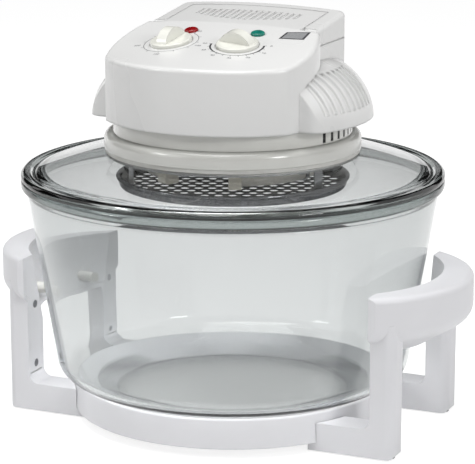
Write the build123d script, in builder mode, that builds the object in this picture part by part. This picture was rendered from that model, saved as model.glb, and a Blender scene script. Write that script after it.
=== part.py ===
# Halogen oven: a glass bowl in a plastic stand, under a glass lid that carries the heating head.
# Origin on the worktop under the middle of the bowl, +X right, +Y back, +Z up, millimetres.
from build123d import *
from math import asin, cos, degrees, hypot, radians, sin, sqrt
import os

os.makedirs("parts", exist_ok=True)

# ---------------------------------------------------------------- driving dimensions
# Clearances and walls shared by many pieces
touch_gap = 0.3          # between pieces that lift off or slide past each other
seam_gap = 0.1           # between fitted pieces of one assembly
running_gap = 0.06       # radial clearance of shafts and pins
plastic_wall = 3.0
sheet = 1.0              # pressed steel

# Glass bowl
rim_radius = 170.0
rim_width = 11.5
rim_top = 197.0
rim_height = 7.0
rim_rounding = 2.2
rim_blend = 4.0              # drop over which the thick rim runs out into the wall
neck_inset = 4.2             # wall below the rim, inside the rim's edge
bowl_flare = 23.3            # how far the wall leans out from the knee up to the neck
bowl_knee_height = 39.4
bowl_corner_radius = 18.0
bowl_slope_width = 47.5      # sloping part of the floor, seen in plan
bowl_floor_height = 18.0
bowl_wall = 4.5
rim_inner_radius = rim_radius - rim_width
rim_bottom = rim_top - rim_height
rim_blend_bottom = rim_bottom - rim_blend
bowl_neck_radius = rim_radius - neck_inset
bowl_knee_radius = bowl_neck_radius - bowl_flare
bowl_floor_radius = bowl_knee_radius - bowl_slope_width

# Base ring
ring_inset = 13.0            # ring's side, inside the bowl's knee
ring_draft = 0.8
ring_floor_inset = 1.0       # ring's inner edge, outside the bowl's level floor
ring_bottom = 8.0
ring_radius = bowl_knee_radius - ring_inset
ring_top_radius = ring_radius - ring_draft
ring_inner_radius = bowl_floor_radius + ring_floor_inset
ring_rib_count = 12
ring_rib = 2.4

# Side frames, right-hand one
foot_thickness = 1.5     # height of the rubber below the plastic
foot_bar_top = 24.0
foot_tongue_inset = 2.0      # tongue's end, outside the ring's inner edge
post_inset = 17.3            # posts' inner faces, inside the bowl's neck
post_depth = 19.5
post_front_y = 51.6
post_back_y = 76.2
post_corner_radius = 7.0
foot_corner_radius = 4.0
foot_fillet = 8.0
post_top = 108.0         # inside the grip
grip_axis_inset = 45.0   # upright axis of the grip's outer curve, inside the posts
grip_radius = 96.5
grip_top = 130.0
grip_band_bottom = 98.0
grip_apron_radius = 64.5
grip_apron_bottom = 78.0
grip_nose_radius = 14.0
grip_edge_radius = 5.0
grip_core_radius = 20.0  # hidden inner end of the grip's section
grip_half_length = 82.0
hollow_axis_inset = 70.5 # upright axis of the finger hollow, inside the posts
hollow_radius = 97.0     # at the grip's top
hollow_flare = 0.17      # how much the hollow opens per millimetre of height
cover_thickness = 3.0
bumper_radius = 4.5
bumper_y = 35.0
bumper_height = 94.0
rubber_foot_radius = 6.8
rubber_foot_seat = 2.0
foot_pocket_inset = 11.0
foot_pocket_length = 14.0
foot_tongue_x = ring_inner_radius + foot_tongue_inset
post_inner_x = bowl_neck_radius - post_inset
post_outer_x = post_inner_x + post_depth
grip_axis_x = post_inner_x - grip_axis_inset
hollow_axis_x = post_inner_x - hollow_axis_inset
foot_pocket_x = post_inner_x - foot_pocket_inset

# Glass lid
lid_edge_thickness = 4.7
lid_bead_width = 9.0
lid_bead_step = 0.13         # bead's top above the dome where they meet
lid_hole_radius = 97.0
lid_rise = 22.0              # edge of the hole above the bowl's rim
lid_glass = 4.0
lid_lip_inset = 3.5          # locating lip, inside the bowl's mouth
lid_lip_width = 3.5
lid_lip_depth = 5.0          # how far the lip reaches below the rim's top
lid_edge_bottom = rim_top + touch_gap
lid_edge_top = lid_edge_bottom + lid_edge_thickness
lid_bead_inner_radius = rim_radius - lid_bead_width
lid_hole_top = rim_top + lid_rise
lid_lip_radius = rim_inner_radius - lid_lip_inset
lid_lip_bottom = rim_top - lid_lip_depth

# Collar, neck and parts below the glass
gasket_width = 1.5
gasket_flange = 5.0          # how far the gasket reaches out over the glass
gasket_lift = 2.2            # collar above the edge of the hole
collar_overhang = 6.0        # collar's side, outside the hole
collar_height = 12.8
collar_lip_width = 18.2
collar_shoulder_radius = 5.5
collar_step = 7.5            # neck's side, inside the collar's
neck_height = 12.3
spigot_inset = 4.7
neck_spigot_height = 3.0
vent_count = 7
vent_pitch = 6.0         # degrees
vent_width = 3.6
reflector_lap = 4.0          # reflector's rim, outside the hole
reflector_seat = 1.0         # fall of the glass at the rim, and clearance
reflector_gap = 0.8          # between the reflector and the collar's lip
reflector_depth = 12.0
guard_inset = 3.4            # guard's bead, inside the hole
guard_rim_width = 4.0
guard_hang = 15.8            # guard's top below the reflector's rim
guard_depth = 7.2
guard_hole = 4.2         # radius of one opening in the grille
guard_pitch = 12.6
tube_ring_inset = 18.0       # middle of the tube, inside the reflector
tube_radius = 4.5
tube_drop = 21.0             # middle of the tube, below the reflector's top
tube_sweep = 300.0
bracket_width = 10.0
gasket_flange_radius = lid_hole_radius + gasket_flange
collar_bottom = lid_hole_top + gasket_lift
collar_top = collar_bottom + collar_height
collar_radius = lid_hole_radius + collar_overhang
collar_inner_radius = collar_radius - collar_lip_width
neck_radius = collar_radius - collar_step
neck_top = collar_top + neck_height
neck_spigot_radius = neck_radius - spigot_inset
reflector_rim_radius = lid_hole_radius + reflector_lap
reflector_rim_height = lid_hole_top - lid_glass - sheet - reflector_seat
reflector_radius = collar_inner_radius - reflector_gap
reflector_top = reflector_rim_height + reflector_depth
guard_radius = lid_hole_radius - guard_inset
guard_top = reflector_rim_height - guard_hang
guard_floor = guard_top - guard_depth
tube_ring_radius = reflector_radius - tube_ring_inset
tube_height = reflector_top - tube_drop

# Motor and fans
shaft_radius = 2.5
fan_radius = 57.0
fan_drop = 11.5          # fan's disc below the reflector's top
cooling_fan_radius = 44.0
cooling_fan_width = 10.0
cooling_fan_lift = 7.0   # above the laminations
motor_plate_gap = 1.0    # between the motor plate and the neck
core_lift = 9.0          # laminations above the collar
core_height = 20.0
core_half_width = 31.0
core_half_depth = 25.0
rotor_radius = 14.0
fan_height = reflector_top - fan_drop
motor_plate_radius = neck_radius - plastic_wall - motor_plate_gap
core_bottom = collar_top + core_lift
core_top = core_bottom + core_height
cooling_fan_height = core_top + cooling_fan_lift

# Head cover
head_gap = 0.7           # between the neck and the head cover
head_reach = 100.0       # cutting depth that clears every part of the head
head_span = 300.0        # cutting width
dome_centre_radius = 63.0
dome_centre_drop = 3.0   # below the cover's lower edge
dome_section_radius = 49.5
wing_front_y = -58.0
wing_corner_radius = 16.0
block_front_radius = 105.0
block_corner_x = 78.0
block_bulge_x = 83.2
block_bulge_y = -35.0
block_corner_radius = 12.0
shoulder_x = 76.0
shoulder_y = -3.0
rear_half_width = 72.0
rear_y = 65.0
rear_corner_radius = 8.0
roof_front_y = -112.0
roof_front_rise = 49.0       # heights of the roof above the cover's lower edge
roof_front_curve = 330.0
roof_crease_rise = 72.5
roof_crease_curve = 900.0
roof_back_y = 72.0
roof_back_rise = 81.8
roof_back_curve = 860.0
roof_edge_radius = 3.5
louvre_count = 9
louvre_pitch = 8.3
louvre_first_y = -46.0
louvre_width = 4.5
louvre_depth = 1.6
louvre_lift = 12.0           # lower ends above the cover's lower edge
louvre_height = 28.0
louvre_reach = 32.0      # how far in from the widest point the louvres run
top_vent_count = 17
top_vent_pitch = 5.3
top_vent_width = 2.2
top_vent_back_y = 38.0
top_vent_long = 28.0
top_vent_short = 14.0
head_bottom = neck_top + head_gap
dome_centre_height = head_bottom - dome_centre_drop
roof_front_height = head_bottom + roof_front_rise
roof_crease_y = shoulder_y   # the roof breaks level with the shoulders
roof_crease_height = head_bottom + roof_crease_rise
roof_back_height = head_bottom + roof_back_rise
louvre_bottom = head_bottom + louvre_lift
louvre_top = louvre_bottom + louvre_height

# Safety handle
parting_rise = 57.5          # handle's underside above the cover's lower edge
handle_arm = 12.0
handle_gap = 0.5
pivot_setback = 6.9          # pivot behind the shoulders
pivot_lift = 6.3             # pivot above the handle's underside
pivot_end_radius = 6.2
pivot_pin_radius = 2.4
crossbar_relief = 2.4        # cut in the crossbar's inner face, so it clears the roof as it lifts
handle_parting = head_bottom + parting_rise
pivot_y = shoulder_y + pivot_setback
pivot_height = handle_parting + pivot_lift
handle_swing_radius = rear_y - handle_arm - pivot_y + crossbar_relief

# Controls on the deck
knob_radius = 16.5
knob_skirt = 4.0
knob_grip_height = 13.0
knob_grip_width = 9.0
knob_stem_radius = 3.0
temperature_knob_at = (-31.0, -48.0)
timer_knob_at = (25.0, -47.0)
dial_recess = 1.6
deck_boss_radius = 13.0
lamp_radius = 5.6
lamp_flange = 1.2
power_lamp_at = (-25.0, -24.0)
heating_lamp_at = (31.0, -21.5)
thermostat_size = (34.0, 30.0, 16.0)
timer_size = (42.0, 36.0, 17.0)
inlet_width = 30.0
inlet_height = 22.0
inlet_border = 4.0
inlet_lift = 15.0        # middle of the inlet above the cover's lower edge

# How plain shapes sit on their place: on it, to its right, behind it or in front of it
standing = (Align.CENTER, Align.CENTER, Align.MIN)
from_left = (Align.MIN, Align.CENTER)
from_front = (Align.CENTER, Align.MIN)
from_back = (Align.CENTER, Align.MAX)


# ---------------------------------------------------------------- shared geometry
def save(piece, name):
    piece.part.label = name
    export_step(piece.part, f"parts/{name}.step")


def radial_plane(angle, height=0.0):
    """Upright plane through the oven's axis: local x runs outwards, local y runs up."""
    a = radians(angle)
    return Plane(origin=(0, 0, height), x_dir=(cos(a), sin(a), 0), z_dir=(sin(a), -cos(a), 0))


bowl_taper = (bowl_neck_radius - bowl_knee_radius) / (rim_top - rim_height - bowl_knee_height)
bowl_floor_rise = (bowl_knee_height - bowl_floor_height) / (bowl_knee_radius - bowl_floor_radius)
rise_factor = hypot(1, bowl_floor_rise)


def bowl_outer_radius(z):
    return bowl_knee_radius + (z - bowl_knee_height) * bowl_taper


def bowl_underside(r):
    return bowl_floor_height + bowl_floor_rise * (r - bowl_floor_radius)


def seat_height(r):
    return bowl_underside(r) - touch_gap * rise_factor


lid_dome_rise = lid_hole_top - lid_edge_top + lid_bead_step
lid_dome_width = lid_bead_inner_radius**2 - lid_hole_radius**2
lid_dome_depth = (lid_dome_width - lid_dome_rise**2) / (2 * lid_dome_rise)
lid_dome_radius = hypot(lid_bead_inner_radius, lid_dome_depth)


def lid_top(r):
    """Height of the domed glass at radius r."""
    fall = sqrt(lid_dome_radius**2 - lid_hole_radius**2) - sqrt(lid_dome_radius**2 - r**2)
    return lid_hole_top - fall


# ---------------------------------------------------------------- base ring
seat_drop = plastic_wall * rise_factor
ring_wall_inside = ring_inner_radius + plastic_wall
ring_wall_outside = ring_top_radius - plastic_wall
bar_middle_y = (post_front_y + post_back_y) / 2
bar_width = post_back_y - post_front_y
tongue_screw_x = (foot_tongue_x + sqrt(ring_radius**2 - post_back_y**2)) / 2
tongue_screws = [(sx * tongue_screw_x, sy * bar_middle_y) for sx in (-1, 1) for sy in (-1, 1)]
ring_screw_radius = 1.9
ring_screw_bite = 2.0     # plastic left above the end of a screw hole
rib_root = 1.0           # how deep ribs and bosses sink into the wall they grow from
ring_boss_top = seat_height(hypot(tongue_screw_x, bar_middle_y)) - seat_drop

with BuildPart() as base_ring:
    with BuildSketch(Plane.XZ):
        with BuildLine():
            Polyline(
                (ring_radius, ring_bottom),
                (ring_top_radius, seat_height(ring_top_radius)),
                (ring_inner_radius, seat_height(ring_inner_radius)),
                (ring_inner_radius, ring_bottom),
                (ring_wall_inside, ring_bottom),
                (ring_wall_inside, seat_height(ring_wall_inside) - seat_drop),
                (ring_wall_outside, seat_height(ring_wall_outside) - seat_drop),
                (ring_radius - plastic_wall, ring_bottom),
                close=True,
            )
        make_face()
    revolve(axis=Axis.Z)
    fillet(base_ring.edges().group_by(Axis.Z)[-1], radius=plastic_wall / 2)
    for i in range(ring_rib_count):
        with BuildSketch(radial_plane((i + 0.5) * 360 / ring_rib_count)):
            with BuildLine():
                Polyline(
                    (ring_wall_inside - rib_root, ring_bottom + ring_rib),
                    (ring_wall_outside + rib_root, ring_bottom + ring_rib),
                    (ring_wall_outside + rib_root, seat_height(ring_wall_outside) - seat_drop + rib_root),
                    (ring_wall_inside - rib_root, seat_height(ring_wall_inside) - seat_drop + rib_root),
                    close=True,
                )
            make_face()
        extrude(amount=ring_rib / 2, both=True)
    with BuildSketch(Plane.XY.offset(ring_bottom)):
        with Locations(*tongue_screws):
            Circle(plastic_wall + ring_screw_radius)
    extrude(amount=ring_boss_top - ring_bottom + rib_root)
    with BuildSketch(Plane.XY.offset(ring_bottom)):
        with Locations(*tongue_screws):
            Circle(ring_screw_radius + seam_gap)
    extrude(amount=ring_boss_top - ring_bottom - ring_screw_bite, mode=Mode.SUBTRACT)
save(base_ring, "base_ring")

ring_screw_head = 2.0
ring_screw_bottom = foot_thickness + 0.5    # heads sunk below the tongue
with BuildPart() as ring_screws:
    with BuildSketch(Plane.XY.offset(ring_screw_bottom)):
        with Locations(*tongue_screws):
            Circle(ring_screw_radius * 2)
    extrude(amount=ring_screw_head)
    with BuildSketch(Plane.XY.offset(ring_screw_bottom)):
        with Locations(*tongue_screws):
            Circle(ring_screw_radius)
    extrude(amount=ring_boss_top - 2 * ring_screw_bite - ring_screw_bottom)
save(ring_screws, "ring_screws")


# ---------------------------------------------------------------- side frames
def hollow_reach(height):
    """Radius of the finger hollow about its own axis at a height."""
    return hollow_radius - (grip_top - height) * hollow_flare


def bowl_side(grow):
    """Everything on the bowl's side of the right-hand frame, moved outwards by grow."""
    low = foot_bar_top + foot_fillet
    high = grip_top + plastic_wall
    with BuildPart() as form:
        with BuildSketch(Plane(origin=(hollow_axis_x, 0, 0), x_dir=(1, 0, 0), z_dir=(0, -1, 0))):
            with BuildLine():
                Polyline(
                    (0, low),
                    (hollow_reach(low) + grow, low),
                    (hollow_reach(high) + grow, high),
                    (0, high),
                    close=True,
                )
            make_face()
        revolve(axis=Axis((hollow_axis_x, 0, 0), (0, 0, 1)))
        with BuildSketch(Plane.XY):
            with Locations((0, 0)):
                Rectangle(post_inner_x + grow, 4 * grip_half_length, align=from_left)
        extrude(amount=high)
    return form.part


def frame_form(inset):
    """Grip and posts of the right-hand frame, every outer face moved inwards by inset."""
    with BuildPart() as form:
        with BuildSketch(Plane(origin=(grip_axis_x, 0, 0), x_dir=(1, 0, 0), z_dir=(0, -1, 0))) as section:
            with BuildLine():
                Polyline(
                    (grip_core_radius, grip_apron_bottom),
                    (grip_apron_radius, grip_apron_bottom),
                    (grip_radius, grip_band_bottom),
                    (grip_radius, grip_top),
                    (grip_core_radius, grip_top),
                    close=True,
                )
            make_face()
            if inset:
                offset(amount=-inset, kind=Kind.INTERSECTION)
            nose = section.vertices().group_by(Axis.X)[-1].sort_by(Axis.Y)[0]
            fillet(nose, radius=grip_nose_radius - inset)
            brow = section.vertices().group_by(Axis.Y)[-1].sort_by(Axis.X)[-1]
            fillet(brow, radius=grip_edge_radius - inset)
        revolve(axis=Axis((grip_axis_x, 0, 0), (0, 0, 1)))
        with BuildSketch(Plane.XY):
            Rectangle(2 * grip_radius + grip_axis_x, 2 * (grip_half_length - inset), align=from_left)
        extrude(amount=grip_top, mode=Mode.INTERSECT)
        with BuildSketch(Plane.XY.offset(foot_bar_top + inset)) as posts:
            for side in (-1, 1):
                with Locations((post_inner_x, side * bar_middle_y)):
                    Rectangle(
                        post_outer_x - inset - post_inner_x,
                        bar_width - 2 * inset,
                        align=from_left,
                    )
            fillet([v for v in posts.vertices() if v.X > post_outer_x - inset - 0.1],
                   radius=post_corner_radius - inset)
        extrude(amount=post_top - foot_bar_top - inset)
        add(bowl_side(0), mode=Mode.SUBTRACT)
    return form.part


frame_hollow = frame_form(plastic_wall)
frame_screw_heights = (38.0, 88.0)
frame_screw_radius = 1.4
frame_head_radius = 3.2
frame_head = 1.6
frame_screw_length = 8.0
frame_boss_height = post_outer_x - plastic_wall - post_inner_x - cover_thickness
frame_screw_places = [(sy * bar_middle_y, z) for sy in (-1, 1) for z in frame_screw_heights]
inner_face = Plane(origin=(post_inner_x, 0, 0), x_dir=(0, 1, 0), z_dir=(1, 0, 0))

with BuildPart() as foot_bars:
    with BuildSketch(Plane.XZ) as foot_profile:
        with BuildLine():
            Polyline(
                (foot_tongue_x, foot_thickness),
                (post_outer_x, foot_thickness),
                (post_outer_x, foot_bar_top + 2 * foot_fillet),
                (post_inner_x, foot_bar_top + 2 * foot_fillet),
                (post_inner_x, foot_bar_top),
                (foot_tongue_x, foot_bar_top),
                close=True,
            )
        make_face()
        crook = foot_profile.vertices().sort_by_distance((post_inner_x, foot_bar_top))[0]
        fillet(crook, radius=foot_fillet)
        heel = foot_profile.vertices().sort_by_distance((post_outer_x, foot_thickness))[0]
        fillet(heel, radius=foot_corner_radius)
    extrude(amount=post_back_y + 1, both=True)
    with BuildSketch(Plane.XY) as bar_plan:
        for side in (-1, 1):
            with Locations((foot_tongue_x, side * bar_middle_y)):
                Rectangle(post_outer_x - foot_tongue_x, bar_width, align=from_left)
        fillet([v for v in bar_plan.vertices() if v.X > post_outer_x - 0.1], radius=post_corner_radius)
    extrude(amount=grip_top, mode=Mode.INTERSECT)

with BuildPart() as side_frame_right:
    add(frame_form(0))
    add(foot_bars.part)
    # the ring sits on the tongues and butts against the bars
    with Locations((0, 0, ring_bottom)):
        Cylinder(ring_radius + seam_gap, grip_apron_bottom - ring_bottom,
                 align=standing, mode=Mode.SUBTRACT)
    # hollow posts and grip, open towards the bowl
    add(frame_hollow, mode=Mode.SUBTRACT)
    with BuildSketch(inner_face.offset(cover_thickness)):
        with Locations(*frame_screw_places):
            Circle(frame_screw_radius + plastic_wall)
    extrude(amount=frame_boss_height + rib_root)
    with BuildSketch(inner_face.offset(cover_thickness)):
        with Locations(*frame_screw_places):
            Circle(frame_screw_radius + seam_gap)
    extrude(amount=frame_screw_length, mode=Mode.SUBTRACT)
    # pockets under the bars, seats of the rubber feet, and screw holes in the tongues
    for side in (-1, 1):
        with Locations((foot_pocket_x, side * bar_middle_y, foot_thickness)):
            Box(foot_pocket_length, bar_width - 2 * plastic_wall, foot_bar_top - foot_thickness - plastic_wall,
                align=standing, mode=Mode.SUBTRACT)
        with Locations(((post_inner_x + post_outer_x) / 2, side * bar_middle_y, foot_thickness)):
            Cylinder(rubber_foot_radius + seam_gap, rubber_foot_seat, align=standing,
                     mode=Mode.SUBTRACT)
        with Locations((tongue_screw_x, side * bar_middle_y, foot_thickness)):
            Cylinder(ring_screw_radius + seam_gap, ring_bottom, align=standing,
                     mode=Mode.SUBTRACT)
            Cylinder(2 * ring_screw_radius + seam_gap, ring_screw_bottom + ring_screw_head - foot_thickness,
                     align=standing, mode=Mode.SUBTRACT)
save(side_frame_right, "side_frame_right")

with BuildPart() as side_frame_left:
    mirror(side_frame_right.part, about=Plane.YZ)
save(side_frame_left, "side_frame_left")

bumper_places = [(-bumper_y, bumper_height), (bumper_y, bumper_height)]
with BuildPart() as frame_cover_right:
    add(frame_form(plastic_wall + seam_gap))
    add(bowl_side(cover_thickness), mode=Mode.INTERSECT)
    with BuildSketch(inner_face):
        with Locations(*frame_screw_places):
            Circle(frame_head_radius + seam_gap)
    extrude(amount=frame_head, mode=Mode.SUBTRACT)
    with BuildSketch(inner_face):
        with Locations(*frame_screw_places):
            Circle(frame_screw_radius + seam_gap)
    extrude(amount=cover_thickness, mode=Mode.SUBTRACT)
    with BuildSketch(inner_face):
        with Locations(*bumper_places):
            Circle(bumper_radius + seam_gap)
    extrude(amount=grip_radius, mode=Mode.SUBTRACT)
save(frame_cover_right, "frame_cover_right")

with BuildPart() as frame_cover_left:
    mirror(frame_cover_right.part, about=Plane.YZ)
save(frame_cover_left, "frame_cover_left")

with BuildPart() as frame_screws:
    with BuildSketch(inner_face):
        with Locations(*frame_screw_places):
            Circle(frame_head_radius)
    extrude(amount=frame_head)
    with BuildSketch(inner_face.offset(frame_head)):
        with Locations(*frame_screw_places):
            Circle(frame_screw_radius)
    extrude(amount=frame_screw_length)
    mirror(about=Plane.YZ)
save(frame_screws, "frame_screws")

with BuildPart() as rubber_feet:
    with BuildSketch(Plane.XY):
        for side in (-1, 1):
            for front in (-1, 1):
                with Locations((side * (post_inner_x + post_outer_x) / 2, front * bar_middle_y)):
                    Circle(rubber_foot_radius)
    extrude(amount=foot_thickness + rubber_foot_seat)
save(rubber_feet, "rubber_feet")

bumper_tip_length = 8.0
bumper_tip_x = sqrt(bowl_outer_radius(bumper_height + bumper_radius)**2 - (bumper_y - bumper_radius)**2)
bumper_seat_x = hollow_axis_x + sqrt(hollow_reach(bumper_height) ** 2 - bumper_y**2)
with BuildPart() as bowl_bumpers:
    with BuildSketch(inner_face.offset(bumper_tip_x - bumper_tip_length - post_inner_x)):
        with Locations(*bumper_places):
            Circle(bumper_radius)
    extrude(amount=bumper_seat_x + cover_thickness - bumper_tip_x + bumper_tip_length)
    # the tips follow the bowl's cone
    with BuildSketch(Plane.XZ, mode=Mode.PRIVATE) as bowl_cone:
        with BuildLine():
            Polyline(
                (0, grip_apron_bottom),
                (bowl_outer_radius(grip_apron_bottom) + touch_gap, grip_apron_bottom),
                (bowl_outer_radius(grip_top) + touch_gap, grip_top),
                (0, grip_top),
                close=True,
            )
        make_face()
    revolve(bowl_cone.sketch, axis=Axis.Z, mode=Mode.SUBTRACT)
    mirror(about=Plane.YZ)
save(bowl_bumpers, "bowl_bumpers")

# ---------------------------------------------------------------- glass bowl
with BuildPart() as glass_bowl:
    with BuildSketch(Plane.XZ) as bowl_outline:
        with BuildLine():
            Polyline(
                (0, bowl_floor_height),
                (bowl_floor_radius, bowl_floor_height),
                (bowl_knee_radius, bowl_knee_height),
                (bowl_neck_radius, rim_bottom),
                (0, rim_bottom),
                close=True,
            )
        make_face()
        fillet(bowl_outline.vertices().filter_by(lambda v: abs(v.X - bowl_knee_radius) < 1),
               radius=bowl_corner_radius)
    revolve(axis=Axis.Z)
    offset(amount=-bowl_wall, openings=glass_bowl.faces().sort_by(Axis.Z)[-1])
    with BuildSketch(Plane.XZ) as rim_section:
        with BuildLine():
            Polyline(
                (rim_inner_radius, rim_top),
                (rim_radius, rim_top),
                (rim_radius, rim_bottom),
                (bowl_outer_radius(rim_bottom), rim_bottom),
                (bowl_outer_radius(rim_blend_bottom) - bowl_wall / 2, rim_blend_bottom),
                (rim_inner_radius, rim_bottom),
                close=True,
            )
        make_face()
        fillet(rim_section.vertices().group_by(Axis.Y)[-1], radius=rim_rounding)
        fillet(rim_section.vertices().group_by(Axis.X)[-1].sort_by(Axis.Y)[0], radius=rim_rounding)
    revolve(axis=Axis.Z)
save(glass_bowl, "glass_bowl")

# ---------------------------------------------------------------- glass lid
lip_inner_radius = lid_lip_radius - lid_lip_width


def dome_arc(r_from, r_to, drop):
    """Arc along the domed glass between two radii, lowered by drop."""
    middle = (r_from + r_to) / 2
    return ThreePointArc(*[(r, lid_top(r) - drop) for r in (r_from, middle, r_to)])


with BuildPart() as glass_lid:
    with BuildSketch(Plane.XZ) as lid_section:
        with BuildLine():
            top_arc = dome_arc(lid_hole_radius, lid_bead_inner_radius, 0)
            Polyline(
                top_arc @ 1,
                (lid_bead_inner_radius + 1, lid_edge_top),
                (rim_radius, lid_edge_top),
                (rim_radius, lid_edge_bottom),
                (lid_lip_radius, lid_edge_bottom),
                (lid_lip_radius, lid_lip_bottom),
                (lip_inner_radius, lid_lip_bottom),
                (lip_inner_radius, lid_top(lip_inner_radius) - lid_glass),
            )
            under_arc = dome_arc(lip_inner_radius, lid_hole_radius, lid_glass)
            Line(under_arc @ 1, top_arc @ 0)
        make_face()
        fillet(lid_section.vertices().group_by(Axis.X)[-1], radius=2)
    revolve(axis=Axis.Z)
save(glass_lid, "glass_lid")

# ---------------------------------------------------------------- gasket, collar and neck
gasket_radius = lid_hole_radius - seam_gap
with BuildPart() as lid_gasket:
    with BuildSketch(Plane.XZ):
        with BuildLine():
            Polyline(
                (gasket_radius - gasket_width, reflector_rim_height + sheet),
                (gasket_radius, reflector_rim_height + sheet),
                (gasket_radius, lid_top(gasket_radius) + seam_gap),
                (gasket_flange_radius, lid_top(gasket_flange_radius) + seam_gap),
                (gasket_flange_radius, collar_bottom),
                (gasket_radius - gasket_width, collar_bottom),
                close=True,
            )
        make_face()
    revolve(axis=Axis.Z)
save(lid_gasket, "lid_gasket")

collar_screw_count = 6
collar_screw_ring = 90.0
collar_screw_radius = 2.0
collar_shelf = 88.0
collar_hollow_radius = collar_radius - plastic_wall
with BuildPart() as lid_collar:
    with BuildSketch(Plane.XZ) as collar_section:
        with BuildLine():
            Polyline(
                (collar_inner_radius, collar_bottom),
                (collar_radius, collar_bottom),
                (collar_radius, collar_top),
                (collar_shelf, collar_top),
                (collar_shelf, collar_top - plastic_wall),
                (collar_hollow_radius, collar_top - plastic_wall),
                (collar_hollow_radius, collar_bottom + plastic_wall),
                (collar_inner_radius, collar_bottom + plastic_wall),
                close=True,
            )
        make_face()
        shoulder = collar_section.vertices().group_by(Axis.X)[-1].sort_by(Axis.Y)[-1]
        fillet(shoulder, radius=collar_shoulder_radius)
        collar_corner = (collar_hollow_radius, collar_top - plastic_wall)
        hollow_corner = collar_section.vertices().sort_by_distance(collar_corner)[0]
        fillet(hollow_corner, radius=collar_shoulder_radius - plastic_wall)
    revolve(axis=Axis.Z)
    with BuildSketch(Plane.XY.offset(collar_bottom)):
        with PolarLocations(collar_screw_ring, collar_screw_count, start_angle=30):
            Circle(collar_screw_radius + seam_gap)
    extrude(amount=plastic_wall, mode=Mode.SUBTRACT)
save(lid_collar, "lid_collar")

neck_inner_radius = neck_radius - plastic_wall
neck_shelf = neck_top - plastic_wall
spigot_top = neck_top + neck_spigot_height
vent_height = neck_shelf - collar_top - 1.0
with BuildPart() as vent_neck:
    with BuildSketch(Plane.XZ):
        with BuildLine():
            Polyline(
                (neck_inner_radius, collar_top),
                (neck_radius, collar_top),
                (neck_radius, neck_top),
                (neck_spigot_radius, neck_top),
                (neck_spigot_radius, spigot_top),
                (neck_spigot_radius - plastic_wall, spigot_top),
                (neck_spigot_radius - plastic_wall, neck_shelf),
                (neck_inner_radius, neck_shelf),
                close=True,
            )
        make_face()
    revolve(axis=Axis.Z)
    first_vent = -(vent_count - 1) / 2 * vent_pitch
    vent_angles = [side + first_vent + i * vent_pitch for side in (0, 180) for i in range(vent_count)]
    for angle in vent_angles:
        with BuildSketch(radial_plane(angle).offset(-vent_width / 2)):
            with Locations((neck_radius, neck_shelf)):
                Rectangle(4 * plastic_wall, vent_height, align=from_back)
        extrude(amount=vent_width, mode=Mode.SUBTRACT)
save(vent_neck, "vent_neck")

# ---------------------------------------------------------------- reflector and guard
reflector_draft = 4.0
shaft_hole = 4.5
with BuildPart() as reflector:
    with BuildSketch(Plane.XZ):
        with BuildLine():
            Polyline(
                (reflector_rim_radius, reflector_rim_height),
                (reflector_rim_radius, reflector_rim_height + sheet),
                (reflector_radius, reflector_rim_height + sheet),
                (reflector_radius - reflector_draft, reflector_top),
                (shaft_hole, reflector_top),
                (shaft_hole, reflector_top - sheet),
                (reflector_radius - reflector_draft - sheet, reflector_top - sheet),
                (reflector_radius - sheet, reflector_rim_height),
                close=True,
            )
        make_face()
    revolve(axis=Axis.Z)
    with BuildSketch(Plane.XY.offset(reflector_rim_height)):
        with PolarLocations(collar_screw_ring, collar_screw_count, start_angle=30):
            Circle(collar_screw_radius + seam_gap)
    extrude(amount=sheet, mode=Mode.SUBTRACT)
save(reflector, "reflector")

collar_screw_head = 2.4
with BuildPart() as collar_screws:
    with BuildSketch(Plane.XY.offset(reflector_rim_height - collar_screw_head)):
        with PolarLocations(collar_screw_ring, collar_screw_count, start_angle=30):
            Circle(2 * collar_screw_radius)
    extrude(amount=collar_screw_head)
    with BuildSketch(Plane.XY.offset(reflector_rim_height)):
        with PolarLocations(collar_screw_ring, collar_screw_count, start_angle=30):
            Circle(collar_screw_radius)
    extrude(amount=collar_bottom + plastic_wall - reflector_rim_height)
    with BuildSketch(Plane.XY.offset(collar_bottom + plastic_wall)):
        with PolarLocations(collar_screw_ring, collar_screw_count, start_angle=30):
            RegularPolygon(2 * collar_screw_radius, 6)
    extrude(amount=collar_screw_head)
save(collar_screws, "collar_screws")

grille_radius = guard_radius - guard_rim_width
grille_band = 6.0         # plain sheet round the openings
with BuildPart() as guard_grille:
    with BuildSketch(Plane.XY.offset(guard_floor)):
        Circle(grille_radius)
        row_pitch = guard_pitch * sqrt(3) / 2
        row_count = int(grille_radius / row_pitch) + 1
        holes = []
        for row in range(-row_count, row_count + 1):
            for column in range(-row_count, row_count + 1):
                x = (column + (row % 2) / 2) * guard_pitch
                y = row * row_pitch
                if hypot(x, y) + guard_hole < grille_radius - grille_band:
                    holes.append((x, y))
        with Locations(*holes):
            RegularPolygon(guard_hole, 6, mode=Mode.SUBTRACT)
    extrude(amount=sheet)
save(guard_grille, "guard_grille")

guard_bead = 1.6
rim_inside = grille_radius + seam_gap
rim_foot = rim_inside + 1.5 * sheet
bead_centre_radius = guard_radius - guard_bead
with BuildPart() as guard_rim:
    with BuildSketch(Plane.XZ):
        with BuildLine():
            Polyline(
                (rim_inside, guard_floor),
                (rim_inside + sheet, guard_floor - sheet),
                (rim_foot, guard_floor),
                (bead_centre_radius + sheet / 2, guard_top - guard_bead),
                (bead_centre_radius - sheet / 2, guard_top - guard_bead),
                (rim_foot - sheet, guard_floor + sheet),
                (rim_inside, guard_floor + sheet),
                close=True,
            )
        make_face()
        with Locations((bead_centre_radius, guard_top - guard_bead)):
            Circle(guard_bead)
    revolve(axis=Axis.Z)
save(guard_rim, "guard_rim")

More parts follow.
